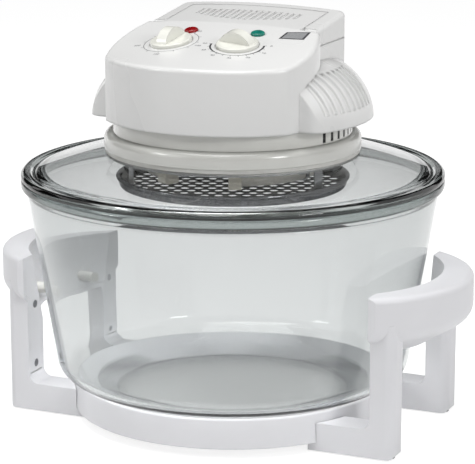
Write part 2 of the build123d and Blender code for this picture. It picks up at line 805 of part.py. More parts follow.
bracket_count = 3
bracket_start = 105.0
bracket_inset = 3.6
bracket_radius = grille_radius - bracket_inset
bracket_foot = 7.0
guard_floor_top = guard_floor + sheet
bracket_angles = [bracket_start + i * 360 / bracket_count for i in range(bracket_count)]
with BuildPart() as guard_brackets:
    for angle in bracket_angles:
        with BuildSketch(radial_plane(angle)):
            with BuildLine():
                Polyline(
                    (bracket_radius - bracket_foot, guard_floor_top),
                    (bracket_radius, guard_floor_top),
                    (bracket_radius, reflector_rim_height - sheet),
                    (bracket_radius + bracket_foot, reflector_rim_height - sheet),
                    (bracket_radius + bracket_foot, reflector_rim_height),
                    (bracket_radius - sheet, reflector_rim_height),
                    (bracket_radius - sheet, guard_floor_top + sheet),
                    (bracket_radius - bracket_foot, guard_floor_top + sheet),
                    close=True,
                )
            make_face()
        extrude(amount=bracket_width / 2, both=True)
save(guard_brackets, "guard_brackets")

# ---------------------------------------------------------------- halogen tube
tube_gap = 360 - tube_sweep
cap_length = 10.0
cap_size = 13.0
cap_rounding = 2.0
cap_angle = degrees(asin(cap_length / tube_ring_radius))
tube_start = 270 + tube_gap / 2
with BuildPart() as halogen_tube:
    with BuildSketch(radial_plane(tube_start, tube_height)):
        with Locations((tube_ring_radius, 0)):
            Circle(tube_radius)
    revolve(axis=Axis.Z, revolution_arc=tube_sweep)
save(halogen_tube, "halogen_tube")

hanger_height = reflector_top - sheet - tube_height
cap_angles = (tube_start - cap_angle / 2, tube_start + tube_sweep + cap_angle / 2)
with BuildPart() as tube_end_caps:
    for angle in cap_angles:
        plane = radial_plane(angle, tube_height)
        with BuildSketch(plane.offset(-cap_length / 2)):
            with Locations((tube_ring_radius, 0)):
                RectangleRounded(cap_size, cap_size, cap_rounding)
        extrude(amount=cap_length)
        with BuildSketch(plane.offset(-sheet)):
            with Locations((tube_ring_radius, 0)):
                Rectangle(bracket_width, hanger_height, align=from_front)
        extrude(amount=2 * sheet)
    with BuildSketch(radial_plane(tube_start, tube_height)):
        with Locations((tube_ring_radius, 0)):
            Circle(tube_radius + seam_gap)
    revolve(axis=Axis.Z, revolution_arc=tube_sweep, mode=Mode.SUBTRACT)
save(tube_end_caps, "tube_end_caps")

clip_count = 3
clip_length = 4.0
clip_angles = [tube_start + (i + 0.5) * tube_sweep / clip_count for i in range(clip_count)]
with BuildPart() as tube_clips:
    for angle in clip_angles:
        with BuildSketch(radial_plane(angle, tube_height).offset(-clip_length / 2)):
            with Locations((tube_ring_radius, 0)):
                Circle(tube_radius + seam_gap + sheet)
            with Locations((tube_ring_radius, tube_radius + seam_gap)):
                Rectangle(sheet, hanger_height - tube_radius - seam_gap, align=from_front)
            with Locations((tube_ring_radius, 0)):
                Circle(tube_radius + seam_gap, mode=Mode.SUBTRACT)
        extrude(amount=clip_length)
save(tube_clips, "tube_clips")

cutout_at = (38.0, 30.0)
cutout_radius = 7.0
cutout_height = 5.0
cutout_flange = (24.0, 8.0)
with BuildPart() as thermal_cutout:
    with BuildSketch(Plane.XY.offset(reflector_top)):
        with Locations(cutout_at):
            Circle(cutout_radius)
    extrude(amount=cutout_height)
    with BuildSketch(Plane.XY.offset(reflector_top)):
        with Locations(cutout_at):
            SlotOverall(*cutout_flange)
    extrude(amount=sheet)
save(thermal_cutout, "thermal_cutout")

# ---------------------------------------------------------------- motor
bracket_sheet = 1.5
motor_plate_top = collar_top + bracket_sheet
stud_inset = 6.0
stud_x = core_half_width - stud_inset
stud_y = core_half_depth - stud_inset
stud_places = [(sx * stud_x, sy * stud_y) for sx in (-1, 1) for sy in (-1, 1)]
stud_radius = 2.0
stud_head = 2.0
plate_slot_ring = 66.0
plate_slot_count = 8
plate_slot = (26.0, 9.0)
with BuildPart() as motor_plate:
    with BuildSketch(Plane.XY.offset(collar_top)):
        Circle(motor_plate_radius)
        Circle(shaft_hole, mode=Mode.SUBTRACT)
        with PolarLocations(plate_slot_ring, plate_slot_count, start_angle=180 / plate_slot_count):
            SlotOverall(*plate_slot, rotation=90, mode=Mode.SUBTRACT)
        with Locations(*stud_places):
            Circle(stud_radius + seam_gap, mode=Mode.SUBTRACT)
    extrude(amount=motor_plate_top - collar_top)
save(motor_plate, "motor_plate")

bearing_lift = 4.5
spacer_wall = 2.5
stud_nut = 3.0
with BuildPart() as motor_spacers:
    with BuildSketch(Plane.XY.offset(motor_plate_top)):
        with Locations(*stud_places):
            Circle(stud_radius + spacer_wall)
        with Locations(*stud_places):
            Circle(stud_radius + seam_gap, mode=Mode.SUBTRACT)
    extrude(amount=core_bottom - bracket_sheet - motor_plate_top)
save(motor_spacers, "motor_spacers")

with BuildPart() as motor_screws:
    with BuildSketch(Plane.XY.offset(collar_top - stud_head)):
        with Locations(*stud_places):
            Circle(2 * stud_radius)
    extrude(amount=stud_head)
    with BuildSketch(Plane.XY.offset(collar_top)):
        with Locations(*stud_places):
            Circle(stud_radius)
    extrude(amount=core_top + bracket_sheet - collar_top)
    with BuildSketch(Plane.XY.offset(core_top + bracket_sheet)):
        with Locations(*stud_places):
            RegularPolygon(2 * stud_radius, 6)
    extrude(amount=stud_nut)
save(motor_screws, "motor_screws")

core_leg = 12.0
coil_y = 37.0            # middle of the leg that carries the winding
coil_back_y = coil_y + core_leg / 2
coil_thickness = 5.0
coil_rounding = 4.0
window_width = 2 * (core_half_width - core_leg)
window_depth = coil_y - core_leg / 2 - core_half_depth + core_leg / 3
rotor_gap = 0.5
with BuildPart() as motor_core:
    with BuildSketch(Plane.XY.offset(core_bottom)):
        with Locations((0, -core_half_depth)):
            Rectangle(2 * core_half_width, core_half_depth + coil_back_y, align=from_front)
        with Locations((0, coil_y - core_leg / 2)):
            Rectangle(window_width, window_depth, align=from_back, mode=Mode.SUBTRACT)
        Circle(rotor_radius + rotor_gap, mode=Mode.SUBTRACT)
        with Locations(*stud_places):
            Circle(stud_radius + seam_gap, mode=Mode.SUBTRACT)
    extrude(amount=core_height)
save(motor_core, "motor_core")

with BuildPart() as motor_coil:
    with Locations((0, coil_y, core_bottom + core_height / 2)):
        Box(window_width - 2, core_leg + 2 * coil_thickness, core_height + 2 * coil_thickness)
        Box(window_width, core_leg + 2 * seam_gap, core_height + 2 * seam_gap, mode=Mode.SUBTRACT)
    fillet(motor_coil.edges().filter_by(Axis.X).group_by(Axis.Z)[-1], radius=coil_rounding)
    fillet(motor_coil.edges().filter_by(Axis.X).group_by(Axis.Z)[0], radius=coil_rounding)
save(motor_coil, "motor_coil")

strip_foot = 12.0
strip_slope = 3.0
bridge_cut = 14.0


def bearing_bracket(z_foot, up):
    """Pressed strip across the core, its middle raised (or lowered) to hold a bearing."""
    with BuildPart() as bracket:
        with BuildSketch(Plane.XZ.offset(-core_half_depth)):
            with BuildLine():
                Polyline(
                    (-core_half_width, z_foot),
                    (-core_half_width + strip_foot, z_foot),
                    (-core_half_width + strip_foot + strip_slope, z_foot + up * bearing_lift),
                    (core_half_width - strip_foot - strip_slope, z_foot + up * bearing_lift),
                    (core_half_width - strip_foot, z_foot),
                    (core_half_width, z_foot),
                )
            trace(line_width=bracket_sheet)
        extrude(amount=2 * core_half_depth)
        with BuildSketch(Plane.XY.offset(z_foot)):
            with Locations(*stud_places):
                Circle(stud_radius + seam_gap)
            Circle(shaft_radius + running_gap)
            # the middle narrows to a bridge
            for side in (-1, 1):
                with Locations((0, side * stud_y)):
                    Rectangle(2 * (core_half_width - strip_foot), bridge_cut)
        extrude(amount=2 * bearing_lift, both=True, mode=Mode.SUBTRACT)
    return bracket


motor_bracket_upper = bearing_bracket(core_top + bracket_sheet / 2, 1)
save(motor_bracket_upper, "motor_bracket_upper")
motor_bracket_lower = bearing_bracket(core_bottom - bracket_sheet / 2, -1)
save(motor_bracket_lower, "motor_bracket_lower")

# ---------------------------------------------------------------- fans on their shaft
fan_sheet = 1.2
blade_height = 8.5
fan_blades = 6
fan_disc_radius = 35.0
blade_root_radius = 23.0
blade_shoulder_radius = 31.0
with BuildPart() as circulation_fan:
    with BuildSketch(Plane.XY.offset(fan_height)):
        Circle(fan_disc_radius)
        Circle(shaft_radius + seam_gap, mode=Mode.SUBTRACT)
    extrude(amount=fan_sheet)
    for i in range(fan_blades):
        plane = radial_plane(i * 360 / fan_blades)
        with BuildSketch(plane.offset(-fan_sheet / 2)):
            with BuildLine():
                Polyline(
                    (blade_root_radius, fan_height),
                    (fan_radius, fan_height),
                    (fan_radius, fan_height + blade_height),
                    (blade_shoulder_radius, fan_height + blade_height),
                    close=True,
                )
            make_face()
        extrude(amount=fan_sheet)
save(circulation_fan, "circulation_fan")

nut_height = 5.0
with BuildPart() as fan_nut:
    with BuildSketch(Plane.XY.offset(fan_height - nut_height)):
        RegularPolygon(2 * shaft_radius, 6)
        Circle(shaft_radius + seam_gap, mode=Mode.SUBTRACT)
    extrude(amount=nut_height)
save(fan_nut, "fan_nut")

shaft_end = 1.5          # shaft beyond the nut
shaft_bottom = fan_height - nut_height - shaft_end
shaft_top = cooling_fan_height + cooling_fan_width + 1
shoulder_radius = 3.5
shoulder_height = 6.0
with BuildPart() as fan_shaft:
    with BuildSketch(Plane.XY.offset(shaft_bottom)):
        Circle(shaft_radius)
    extrude(amount=shaft_top - shaft_bottom)
    with BuildSketch(Plane.XY.offset(fan_height + fan_sheet)):
        Circle(shoulder_radius)
    extrude(amount=shoulder_height)
save(fan_shaft, "fan_shaft")

with BuildPart() as motor_rotor:
    with BuildSketch(Plane.XY.offset(core_bottom)):
        Circle(rotor_radius)
        Circle(shaft_radius + seam_gap, mode=Mode.SUBTRACT)
    extrude(amount=core_height)
save(motor_rotor, "motor_rotor")

cooling_blades = 7
hub_radius = 12.0
blade_sweep = 16.0       # degrees
blade_bow = 6.0
with BuildPart() as cooling_fan:
    with BuildSketch(Plane.XY.offset(cooling_fan_height)):
        Circle(hub_radius)
        Circle(shaft_radius + seam_gap, mode=Mode.SUBTRACT)
    extrude(amount=cooling_fan_width)
    with BuildSketch(Plane.XY.offset(cooling_fan_height)):
        Circle(cooling_fan_radius)
        Circle(hub_radius - 1, mode=Mode.SUBTRACT)
    extrude(amount=fan_sheet)
    for i in range(cooling_blades):
        turn = 360 / cooling_blades * i
        start = Vector(hub_radius - 1, 0).rotate(Axis.Z, turn)
        middle = Vector((hub_radius + cooling_fan_radius) / 2, blade_bow).rotate(Axis.Z, turn)
        end = Vector(cooling_fan_radius - 1, 0).rotate(Axis.Z, turn + blade_sweep)
        with BuildSketch(Plane.XY.offset(cooling_fan_height)):
            with BuildLine():
                ThreePointArc(start, middle, end)
            trace(line_width=fan_sheet)
        extrude(amount=cooling_fan_width)
save(cooling_fan, "cooling_fan")


# ---------------------------------------------------------------- head cover
def roof_form(inset):
    """Solid below the cambered roof, which slopes down to the front from a crease."""
    stations = (
        (roof_front_y, roof_front_height, roof_front_curve),
        (roof_crease_y, roof_crease_height, roof_crease_curve),
        (roof_back_y, roof_back_height, roof_back_curve),
    )
    half = block_bulge_x + 2 * plastic_wall
    with BuildPart() as roof:
        for y, middle, curve in stations:
            drop = curve - sqrt(curve**2 - half**2)
            with BuildSketch(Plane.XZ.offset(-y)):
                with BuildLine():
                    top, side = middle - inset, middle - drop - inset
                    ThreePointArc((-half, side), (0, top), (half, side))
                    Polyline((half, side), (half, head_bottom), (-half, head_bottom), (-half, side))
                make_face()
        loft(ruled=True)
    return roof.part


def roof_height(x, y):
    """Height and slopes of the roof in front of its crease."""
    t = (y - roof_front_y) / (roof_crease_y - roof_front_y)
    middle = roof_front_height + t * (roof_crease_height - roof_front_height)
    front = roof_front_curve - sqrt(roof_front_curve**2 - x**2)
    crease = roof_crease_curve - sqrt(roof_crease_curve**2 - x**2)
    return middle - front - t * (crease - front)


def block_form(inset):
    """Control block: the plan raised up to the roof, every face moved inwards by inset."""
    front = block_front_radius
    corner_y = -sqrt(front**2 - block_corner_x**2)
    with BuildPart() as block:
        with BuildSketch(Plane.XY.offset(head_bottom)) as plan:
            with BuildLine():
                ThreePointArc(
                    (0, -front),
                    (front * sin(radians(24)), -front * cos(radians(24))),
                    (block_corner_x, corner_y),
                )
                bulge = (block_bulge_x, block_bulge_y)
                shoulder = (shoulder_x, shoulder_y)
                ThreePointArc((block_corner_x, corner_y), bulge, shoulder)
                Polyline(shoulder, (rear_half_width, shoulder_y), (rear_half_width, rear_y), (0, rear_y))
                mirror(about=Plane.YZ)
            make_face()
            front_corners = [v for v in plan.vertices() if abs(abs(v.X) - block_corner_x) < 0.1]
            fillet(front_corners, radius=block_corner_radius)
            fillet([v for v in plan.vertices() if v.Y > rear_y - 0.1], radius=rear_corner_radius)
            if inset:
                offset(amount=-inset, kind=Kind.INTERSECTION)
        extrude(amount=head_reach)
        add(roof_form(inset), mode=Mode.INTERSECT)
    return block.part


def dome_form(inset):
    """Round lower housing whose sides show as wings beside the control block."""
    outer = dome_section_radius - inset
    base = sqrt(outer**2 - (head_bottom - dome_centre_height) ** 2)
    with BuildPart() as dome:
        with BuildSketch(Plane.XZ):
            with BuildLine():
                Line((0, head_bottom), (dome_centre_radius + base, head_bottom))
                diagonal = outer * sqrt(0.5)
                crown = dome_centre_height + outer
                ThreePointArc(
                    (dome_centre_radius + base, head_bottom),
                    (dome_centre_radius + diagonal, dome_centre_height + diagonal),
                    (dome_centre_radius, crown),
                )
                Polyline((dome_centre_radius, crown), (0, crown), (0, head_bottom))
            make_face()
        revolve(axis=Axis.Z)
        with BuildSketch(Plane.XY.offset(head_bottom)) as wings:
            Circle(dome_centre_radius + dome_section_radius)
            with Locations((0, wing_front_y)):
                Rectangle(head_span, head_span, align=from_back, mode=Mode.SUBTRACT)
            fillet([v for v in wings.vertices() if v.Y < wing_front_y + 1], radius=wing_corner_radius)
            if inset:
                offset(amount=-inset, kind=Kind.INTERSECTION)
        extrude(amount=head_reach, mode=Mode.INTERSECT)
    return dome.part


def handle_space(grow):
    """U-shaped space along the sides and back of the roof that the safety handle lies in."""
    with BuildPart() as space:
        with BuildSketch(Plane.XY.offset(handle_parting - grow)):
            with Locations((0, shoulder_y + handle_gap - grow)):
                Rectangle(head_span, head_span, align=from_front)
            with Locations((0, rear_y - handle_arm - grow)):
                Rectangle(2 * (rear_half_width - handle_arm - grow), head_span, align=from_back,
                          mode=Mode.SUBTRACT)
        extrude(amount=head_reach)
    return space.part


def deck_plane(at, depth):
    """Plane parallel to the deck at a place, sunk by depth; local x stays level."""
    x, y = at
    step = 1.0
    slope_y = (roof_height(x, y + step) - roof_height(x, y - step)) / (2 * step)
    slope_x = (roof_height(x + step, y) - roof_height(x - step, y)) / (2 * step)
    normal = Vector(-slope_x, -slope_y, 1).normalized()
    origin = Vector(x, y, roof_height(x, y)) - normal * depth
    return Plane(origin=origin, x_dir=Vector(1, 0, slope_x), z_dir=normal)


knob_recess_radius = 17.3
temperature_deck = deck_plane(temperature_knob_at, dial_recess)
timer_deck = deck_plane(timer_knob_at, dial_recess)
power_deck = deck_plane(power_lamp_at, 0)
heating_deck = deck_plane(heating_lamp_at, 0)
stem_hole = 3.5
deck_boss = 4.4          # thickness of the deck under a knob
boss_radius = 4.0
boss_gap = 3.0           # screw bosses of the cover, outside the neck
boss_ring = neck_radius + boss_gap
boss_angles = (35, 145, 240, 300)
head_screws = [Vector(boss_ring, 0).rotate(Axis.Z, angle) for angle in boss_angles]
boss_bottom = neck_top + plastic_wall
boss_height = 23.0
boss_top = head_bottom + boss_height
housing_screw_radius = 1.6
housing_screw_length = 17.7
switch_size = (8.0, 18.0, 15.0)
switch_y = 23.0
switch_inset = 8.0
switch_x = rear_half_width - switch_inset
ledge_top = handle_parting - handle_gap
ledge_bottom = ledge_top - plastic_wall
slot_length = 11.0
slot_width = 4.0
pin_inside_x = rear_half_width - handle_arm - handle_gap - plastic_wall
pin_outside_x = rear_half_width - plastic_wall
inlet_y = 103.0
inlet_z = head_bottom + inlet_lift
inlet_seat_depth = 18.0
vent_half = (top_vent_count - 1) / 2

with BuildPart() as roof_block:
    add(block_form(0))
    roof_edges = roof_block.edges().filter_by(lambda e: e.center().Z > roof_front_height - 5)
    level_edges = [e for e in roof_edges if e.bounding_box().size.Z < roof_back_height - roof_front_height]
    fillet([e for e in level_edges if abs(e.center().Y - shoulder_y) > 0.5], radius=roof_edge_radius)
rounded_block = roof_block.part

with BuildPart() as head_hollow:
    add(block_form(plastic_wall))
    add(handle_space(handle_gap + plastic_wall), mode=Mode.SUBTRACT)
    add(dome_form(plastic_wall))

with BuildPart() as louvres:
    add(dome_form(0))
    add(dome_form(louvre_depth), mode=Mode.SUBTRACT)
    with BuildSketch(Plane.XY.offset(louvre_bottom)):
        for side in (-1, 1):
            for i in range(louvre_count):
                widest = dome_centre_radius + dome_section_radius
                with Locations((side * widest, louvre_first_y + i * louvre_pitch)):
                    Rectangle(2 * louvre_reach, louvre_width)
    extrude(amount=louvre_top - louvre_bottom, mode=Mode.INTERSECT)

with BuildPart() as head_cover:
    add(rounded_block)
    add(handle_space(handle_gap), mode=Mode.SUBTRACT)
    add(dome_form(0))
    # flat seat for the mains inlet at the back
    with Locations((0, inlet_y, inlet_z)):
        Box(inlet_width + 2 * inlet_border, 2 * inlet_seat_depth, inlet_height + 2 * inlet_border,
            align=(Align.CENTER, Align.MAX, Align.CENTER))
    add(head_hollow.part, mode=Mode.SUBTRACT)
    add(louvres.part, mode=Mode.SUBTRACT)
    # air slots in the roof, longest in the middle
    with BuildSketch(Plane.XY.offset(handle_parting)):
        for i in range(top_vent_count):
            place = (i - vent_half) / vent_half
            length = top_vent_long - (top_vent_long - top_vent_short) * place**2
            with Locations(((i - vent_half) * top_vent_pitch, top_vent_back_y)):
                Rectangle(top_vent_width, length, align=from_back)
    extrude(amount=head_reach, mode=Mode.SUBTRACT)
    # dial recesses with a boss below, shaft holes and lamp holes in the deck
    for deck in (temperature_deck, timer_deck):
        with BuildSketch(deck):
            Circle(deck_boss_radius)
        extrude(amount=-deck_boss)
        with BuildSketch(deck):
            Circle(knob_recess_radius)
        extrude(amount=4 * dial_recess, mode=Mode.SUBTRACT)
        with BuildSketch(deck):
            Circle(stem_hole)
        extrude(amount=-2 * deck_boss, mode=Mode.SUBTRACT)
    for deck in (power_deck, heating_deck):
        with BuildSketch(deck):
            Circle(lamp_radius + seam_gap)
        extrude(amount=2 * deck_boss, both=True, mode=Mode.SUBTRACT)
    # bosses for the housing screws
    with BuildSketch(Plane.XY.offset(boss_bottom)):
        with Locations(*head_screws):
            Circle(boss_radius)
            Circle(housing_screw_radius + seam_gap, mode=Mode.SUBTRACT)
    extrude(amount=boss_top - boss_bottom)
    # pin holes of the handle, and the slot above the safety switch
    with BuildSketch(Plane.YZ.offset(-rear_half_width + handle_arm)):
        with Locations((pivot_y, pivot_height)):
            Circle(pivot_pin_radius + seam_gap)
    extrude(amount=2 * (rear_half_width - handle_arm), mode=Mode.SUBTRACT)
    with Locations((-switch_x, switch_y, ledge_bottom)):
        Box(slot_width, slot_length, 2 * plastic_wall, mode=Mode.SUBTRACT)
    # pocket of the mains inlet
    with Locations((0, inlet_y, inlet_z)):
        Box(inlet_width, 4 * inlet_seat_depth, inlet_height, mode=Mode.SUBTRACT)
save(head_cover, "head_cover")

# ---------------------------------------------------------------- head base, screws and inlet
screw_head_height = 1.8
with BuildPart() as head_base:
    add(block_form(plastic_wall + seam_gap))
    add(dome_form(plastic_wall + 3 * seam_gap))
    with BuildSketch(Plane.XY.offset(head_bottom)):
        Circle(2 * block_front_radius)
    extrude(amount=boss_bottom - head_bottom, mode=Mode.INTERSECT)
    extrude(head_base.faces().sort_by(Axis.Z)[0], amount=head_bottom - neck_top)
    with BuildSketch(Plane.XY.offset(neck_top)):
        Circle(neck_spigot_radius + seam_gap)
        with Locations(*head_screws):
            Circle(housing_screw_radius + seam_gap)
    extrude(amount=2 * plastic_wall, mode=Mode.SUBTRACT)
    with BuildSketch(Plane.XY.offset(neck_top)):
        with Locations(*head_screws):
            Circle(2 * housing_screw_radius + seam_gap)
    extrude(amount=screw_head_height, mode=Mode.SUBTRACT)
save(head_base, "head_base")

with BuildPart() as housing_screws:
    with BuildSketch(Plane.XY.offset(neck_top)):
        with Locations(*head_screws):
            Circle(2 * housing_screw_radius)
    extrude(amount=screw_head_height)
    with BuildSketch(Plane.XY.offset(neck_top)):
        with Locations(*head_screws):
            Circle(housing_screw_radius)
    extrude(amount=housing_screw_length)
save(housing_screws, "housing_screws")

pin_count = 3
pin_width = 2.0
pin_pitch = 7.0
pin_stagger = 2.0
inlet_wall = 3.0
with BuildPart() as mains_inlet:
    with Locations((0, inlet_y, inlet_z)):
        Box(inlet_width - 2 * seam_gap, inlet_seat_depth, inlet_height - 2 * seam_gap,
            align=(Align.CENTER, Align.MAX, Align.CENTER))
        Box(inlet_width - 2 * inlet_wall, 2 * (inlet_seat_depth - inlet_wall), inlet_height - 2 * inlet_wall,
            mode=Mode.SUBTRACT)
    for i in range(pin_count):
        lift = pin_stagger if i == 1 else -pin_stagger
        with Locations(((i - 1) * pin_pitch, inlet_y - inlet_seat_depth + 1, inlet_z + lift)):
            Box(pin_width, inlet_seat_depth - 2, 2 * pin_width, align=(Align.CENTER, Align.MIN, Align.CENTER))
save(mains_inlet, "mains_inlet")

# ---------------------------------------------------------------- safety handle and its switch
nub_height = 3.0
nub_y = 21.0
nub_length = 4.0
pin_head_radius = 4.0
pin_head = 2.0
with BuildPart() as safety_handle:
    add(rounded_block)
    add(handle_space(0), mode=Mode.INTERSECT)
    # front ends turned about the pivot
    with BuildSketch(Plane.YZ.offset(-head_reach)):
        with Locations((pivot_y, pivot_height)):
            Rectangle(handle_arm, head_reach, align=(Align.MAX, Align.CENTER))
            Circle(pivot_end_radius, mode=Mode.SUBTRACT)
    extrude(amount=2 * head_reach, mode=Mode.SUBTRACT)
    with BuildSketch(Plane.YZ.offset(-pin_outside_x - seam_gap)):
        with Locations((pivot_y, pivot_height)):
            Circle(pivot_pin_radius + running_gap)
    extrude(amount=2 * (pin_outside_x + seam_gap), mode=Mode.SUBTRACT)
    with BuildSketch(Plane.YZ.offset(handle_arm - rear_half_width)):
        with Locations((pivot_y, pivot_height)):
            Circle(handle_swing_radius)
    extrude(amount=2 * (rear_half_width - handle_arm), mode=Mode.SUBTRACT)
    with Locations((-switch_x, nub_y, handle_parting + rib_root)):
        Box(slot_width - 1, nub_length, nub_height + rib_root, align=(Align.CENTER, Align.CENTER, Align.MAX))
save(safety_handle, "safety_handle")

with BuildPart() as handle_pins:
    for side in (-1, 1):
        with BuildSketch(Plane.YZ.offset(side * pin_inside_x)):
            with Locations((pivot_y, pivot_height)):
                Circle(pivot_pin_radius)
        extrude(amount=side * (pin_outside_x - pin_inside_x))
        with BuildSketch(Plane.YZ.offset(side * pin_inside_x)):
            with Locations((pivot_y, pivot_height)):
                Circle(pin_head_radius)
        extrude(amount=-side * pin_head)
save(handle_pins, "handle_pins")

plunger_length = 3.0
plunger_top = handle_parting - nub_height - touch_gap
with BuildPart() as safety_switch:
    with Locations((-switch_x, switch_y, ledge_bottom)):
        Box(*switch_size, align=(Align.CENTER, Align.CENTER, Align.MAX))
    with Locations((-switch_x, nub_y, ledge_bottom - rib_root)):
        Box(slot_width - 1, plunger_length, plunger_top - ledge_bottom + rib_root,
            align=standing)
save(safety_switch, "safety_switch")

# ---------------------------------------------------------------- lamps
lens_height = 2.0
lens_rounding = 1.8
lamp_depth = 8.0
for deck, name in ((power_deck, "power_lamp"), (heating_deck, "heating_lamp")):
    with BuildPart() as lamp:
        with BuildSketch(deck.offset(-lamp_depth)):
            Circle(lamp_radius)
        extrude(amount=lamp_depth + lens_height)
        fillet(lamp.edges().group_by(Axis(deck.origin, deck.z_dir))[-1], radius=lens_rounding)
        with BuildSketch(deck.offset(-plastic_wall - seam_gap - lamp_flange)):
            Circle(lamp_radius + lamp_flange)
        extrude(amount=lamp_flange)
    save(lamp, name)

# ---------------------------------------------------------------- thermostat, timer and their knobs
shaft_depth = 12.0
control_rounding = 3.0
bush_radius = knob_stem_radius + running_gap
controls = ((temperature_deck, thermostat_size, "thermostat"), (timer_deck, timer_size, "timer"))
for deck, size, name in controls:
    width, depth, height = size
    with BuildPart() as control:
        with BuildSketch(deck.offset(-deck_boss - height)):
            RectangleRounded(width, depth, control_rounding)
        extrude(amount=height)
        with BuildSketch(deck.offset(-deck_boss - shaft_depth)):
            Circle(bush_radius)
        extrude(amount=shaft_depth, mode=Mode.SUBTRACT)
    save(control, name)

knob_bore_depth = 8.0
skirt_rounding = 1.2
grip_end_inset = 2.5
grip_root = 3.0          # height at which the grip bar's arc meets the skirt
for deck, turn, name in ((temperature_deck, 80, "temperature"), (timer_deck, -6, "timer")):
    level = deck.offset(touch_gap)
    along = level.x_dir.rotate(Axis((0, 0, 0), level.z_dir), turn)
    base = Plane(level.origin, x_dir=along, z_dir=level.z_dir)
    upright = Plane(origin=base.origin, x_dir=base.x_dir, z_dir=-base.y_dir)
    with BuildPart() as knob:
        with BuildSketch(base):
            Circle(knob_radius)
        extrude(amount=knob_skirt)
        fillet(knob.edges().group_by(Axis(base.origin, base.z_dir))[-1], radius=skirt_rounding)
        with BuildSketch(upright):
            with BuildLine():
                bar_end = knob_radius - grip_end_inset
                ThreePointArc((-bar_end, grip_root), (0, knob_grip_height), (bar_end, grip_root))
                Line((bar_end, grip_root), (-bar_end, grip_root))
            make_face()
        extrude(amount=knob_grip_width / 2, both=True)
        with BuildSketch(base):
            Circle(knob_stem_radius + seam_gap / 2)
        extrude(amount=knob_bore_depth, mode=Mode.SUBTRACT)
    save(knob, f"{name}_knob")
    with BuildPart() as spindle:
        with BuildSketch(deck.offset(-deck_boss - shaft_depth + 1)):
            Circle(knob_stem_radius)
        extrude(amount=shaft_depth - 1 + deck_boss + touch_gap + knob_bore_depth)
    save(spindle, f"{name}_spindle")
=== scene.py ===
# Halogen oven: finishes, glass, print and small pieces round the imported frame. Metres, sizes given in mm.
import bmesh
import bpy
from math import cos, pi, radians, sin, sqrt, tan
from mathutils import Matrix, Vector
from mathutils.bvhtree import BVHTree


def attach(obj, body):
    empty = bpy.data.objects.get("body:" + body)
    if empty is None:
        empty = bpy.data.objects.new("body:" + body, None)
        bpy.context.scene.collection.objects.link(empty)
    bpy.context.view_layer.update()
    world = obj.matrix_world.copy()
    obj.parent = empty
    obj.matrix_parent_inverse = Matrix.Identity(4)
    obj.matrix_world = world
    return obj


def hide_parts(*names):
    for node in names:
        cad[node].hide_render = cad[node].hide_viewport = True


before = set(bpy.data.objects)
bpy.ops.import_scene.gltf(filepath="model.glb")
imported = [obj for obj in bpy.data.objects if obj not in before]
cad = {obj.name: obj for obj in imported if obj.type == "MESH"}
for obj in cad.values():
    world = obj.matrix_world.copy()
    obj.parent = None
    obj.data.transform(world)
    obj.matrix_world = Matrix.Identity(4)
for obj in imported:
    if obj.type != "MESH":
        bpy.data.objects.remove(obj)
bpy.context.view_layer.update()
mm = 0.001
print("frame loaded:", len(cad), "nodes")


def linear(colour):  # "#RRGGBB" in sRGB to a linear RGBA value
    parts = [int(colour[i:i + 2], 16) / 255 for i in (1, 3, 5)]
    return [c / 12.92 if c <= 0.04045 else ((c + 0.055) / 1.055) ** 2.4 for c in parts] + [1.0]


# an input is a plain value, a socket to link from, or a node whose first output is linked
def addNode(tree, kind, settings=None, inputs=None):
    node = tree.nodes.new(kind)
    for name, value in (settings or {}).items():
        setattr(node, name, value)
    for name, value in (inputs or {}).items():
        if isinstance(value, bpy.types.Node):
            value = value.outputs[0]
        if isinstance(value, bpy.types.NodeSocket):
            tree.links.new(value, node.inputs[name])
        else:
            node.inputs[name].default_value = value
    return node


# settings of the nodes that calculate
add, subtract, multiply, divide = ({"operation": word} for word in ("ADD", "SUBTRACT", "MULTIPLY", "DIVIDE"))
cosine, sine, arctan2 = ({"operation": word} for word in ("COSINE", "SINE", "ARCTAN2"))
rounded, modulo, length = ({"operation": word} for word in ("ROUND", "FLOORED_MODULO", "LENGTH"))
maximum, compare, lessThan = ({"operation": word} for word in ("MAXIMUM", "COMPARE", "LESS_THAN"))


def newMaterial(name, shader):
    material = bpy.data.materials.new(name)
    material.use_nodes = True
    surface = material.node_tree.nodes["Principled BSDF"]
    for socket, value in shader.items():
        surface.inputs[socket].default_value = value
    return material, material.node_tree, surface


toneSpan = (0.3, 0.7)  # the noise seldom leaves this range


# patches take a surface from its shade to its colour, and its roughness from the low value to the high one;
# patch is their size in mm, and stretch draws them out along an axis
def mottle(tree, surface, look, detail):
    place = addNode(tree, "ShaderNodeTexCoord").outputs["Object"]
    if "stretch" in look:
        place = addNode(tree, "ShaderNodeMapping", inputs={"Vector": place, "Scale": look["stretch"]})
    patches = addNode(tree, "ShaderNodeTexNoise", inputs={
        "Vector": place, "Scale": 1 / (look["patch"] * mm), "Detail": detail})
    ramp = addNode(tree, "ShaderNodeValToRGB", inputs={"Fac": patches})
    ramp.color_ramp.interpolation = "EASE"
    for stop, at, colour in zip(ramp.color_ramp.elements, toneSpan, (look["shade"], look["colour"])):
        stop.position = at
        stop.color = linear(colour)
    tree.links.new(ramp.outputs["Color"], surface.inputs["Base Color"])
    if "rough" in look:
        low, high = look["rough"]
        spread = addNode(tree, "ShaderNodeMapRange", inputs={"Value": patches, "To Min": low, "To Max": high})
        tree.links.new(spread.outputs["Result"], surface.inputs["Roughness"])
    return place


